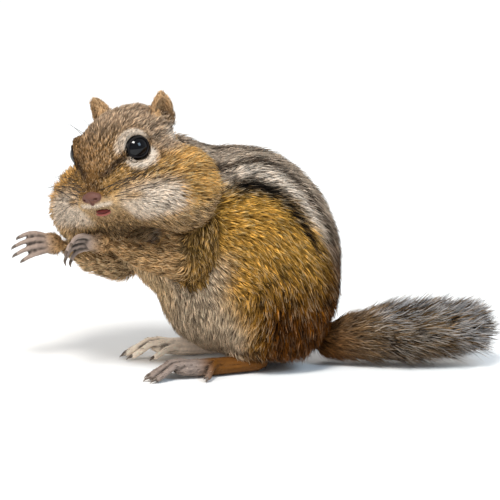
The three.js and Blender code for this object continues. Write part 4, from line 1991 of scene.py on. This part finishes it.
@dataclass(frozen=True)
class Shot:
    """The camera, placed as the photo's was.

    Attributes:
        azimuth: Degrees round the animal.
        elevation: Degrees above the horizon.
        distance: Metres from the point looked at.
        across: Millimetres from the origin to the picture's middle, to the right.
        up: Millimetres from the origin to the picture's middle, upwards.
        width: Width of the picture at that distance, in millimetres.
        sensor: Width of the camera's sensor, in millimetres.
    """

    azimuth: float = -15.0
    elevation: float = 14.0
    distance: float = 2.4
    across: float = -3.03
    up: float = 33.54
    width: float = 151.5
    sensor: float = 36.0

    def build(self, layout: Layout) -> None:
        """Makes the camera and sets it.

        Args:
            layout: The animal's frames.
        """
        a, e = math.radians(self.azimuth), math.radians(self.elevation)
        look = np.array([-math.sin(a) * math.cos(e), math.cos(a) * math.cos(e), -math.sin(e)])
        right = np.array([math.cos(a), math.sin(a), 0.0])
        up = np.cross(right, look)
        target = layout.to_scene(right * self.across + up * self.up)
        data = bpy.data.cameras.new("camera")
        camera = bpy.data.objects.new("camera", data)
        bpy.context.scene.collection.objects.link(camera)
        camera.location = Vector(target - look * self.distance)
        camera.rotation_euler = Vector(look).to_track_quat("-Z", "Y").to_euler()
        data.sensor_width = self.sensor
        data.lens = self.sensor * self.distance / (self.width * MM)
        data.clip_start, data.clip_end = 0.05, 50.0
        bpy.context.scene.camera = camera


@dataclass(frozen=True)
class Lamp:
    """A soft square lamp that looks at the animal.

    Attributes:
        name: The lamp's name.
        at: Its place, in metres.
        power: Its power in watts.
        size: Its side in metres.
        colour: Its colour.
        aim: The point it looks at, in metres.
    """

    name: str
    at: tuple[float, float, float]
    power: float
    size: float
    colour: tuple[float, float, float]
    aim: tuple[float, float, float] = (0, 0, 0.04)

    def build(self) -> bpy.types.Object:
        """Makes the lamp.

        Returns:
            The lamp.
        """
        data = bpy.data.lights.new(self.name, "AREA")
        data.energy = self.power
        data.size = self.size
        data.color = self.colour
        lamp = bpy.data.objects.new(self.name, data)
        bpy.context.scene.collection.objects.link(lamp)
        lamp.location = self.at
        lamp.rotation_euler = (Vector(self.aim) - Vector(self.at)).to_track_quat("-Z", "Y").to_euler()
        return lamp


class Studio:
    """A pale floor, a pale world and soft lamps."""

    LAMPS = (
        Lamp("key", (-0.3, -0.62, 1.1), 14.0, 0.3, (1.0, 0.96, 0.91)),
        Lamp("fill", (-0.8, -0.4, 0.45), 3.0, 0.5, (1.0, 0.97, 0.93)),
        Lamp("window", (0.53, -0.73, 0.78), 6.0, 0.45, (0.6, 0.8, 1.0)),
        Lamp("rim", (0.6, 0.7, 0.7), 5.0, 0.6, (1.0, 0.98, 0.95)),
    )
    SKY = (0.93, 0.96, 1.0, 1)
    SKY_STRENGTH = 0.46
    FLOOR_SIZE = 12
    FLOOR_HEIGHT = -0.0002

    def __init__(self) -> None:
        """Builds the studio."""
        bpy.ops.mesh.primitive_plane_add(size=self.FLOOR_SIZE)
        plane = bpy.context.active_object
        plane.name = "floor"
        plane.location.z = self.FLOOR_HEIGHT
        plane.data.materials.append(FLOOR.build())
        lamps = [lamp.build() for lamp in self.LAMPS]
        world = bpy.data.worlds.new("world")
        bpy.context.scene.world = world
        world.use_nodes = True
        background = world.node_tree.nodes["Background"]
        background.inputs["Color"].default_value = self.SKY
        background.inputs["Strength"].default_value = self.SKY_STRENGTH
        bpy.context.scene.view_settings.view_transform = "Standard"


def main() -> None:
    """Builds the animal and the studio, reports each piece and notes the sizes."""
    logging.basicConfig(level=logging.INFO, format="%(message)s")
    layout, tail = Layout(), TailSize()
    markings = Markings(layout)
    skin = Skin(layout, tail)
    skin.dress(markings)
    fur = Fur(skin, Comb(layout, tail), markings)
    for region in Region:
        fur.grow(region)
    for assembly in (skin, fur, Eyes(layout), Muzzle(skin), Whiskers(skin), Claws(layout)):
        for piece in assembly.pieces:
            LOG.info("%s %s: %d faces", type(assembly).__name__, piece.name, len(piece.data.polygons))
    Studio()
    Shot().build(layout)


if __name__ == "__main__":
    main()
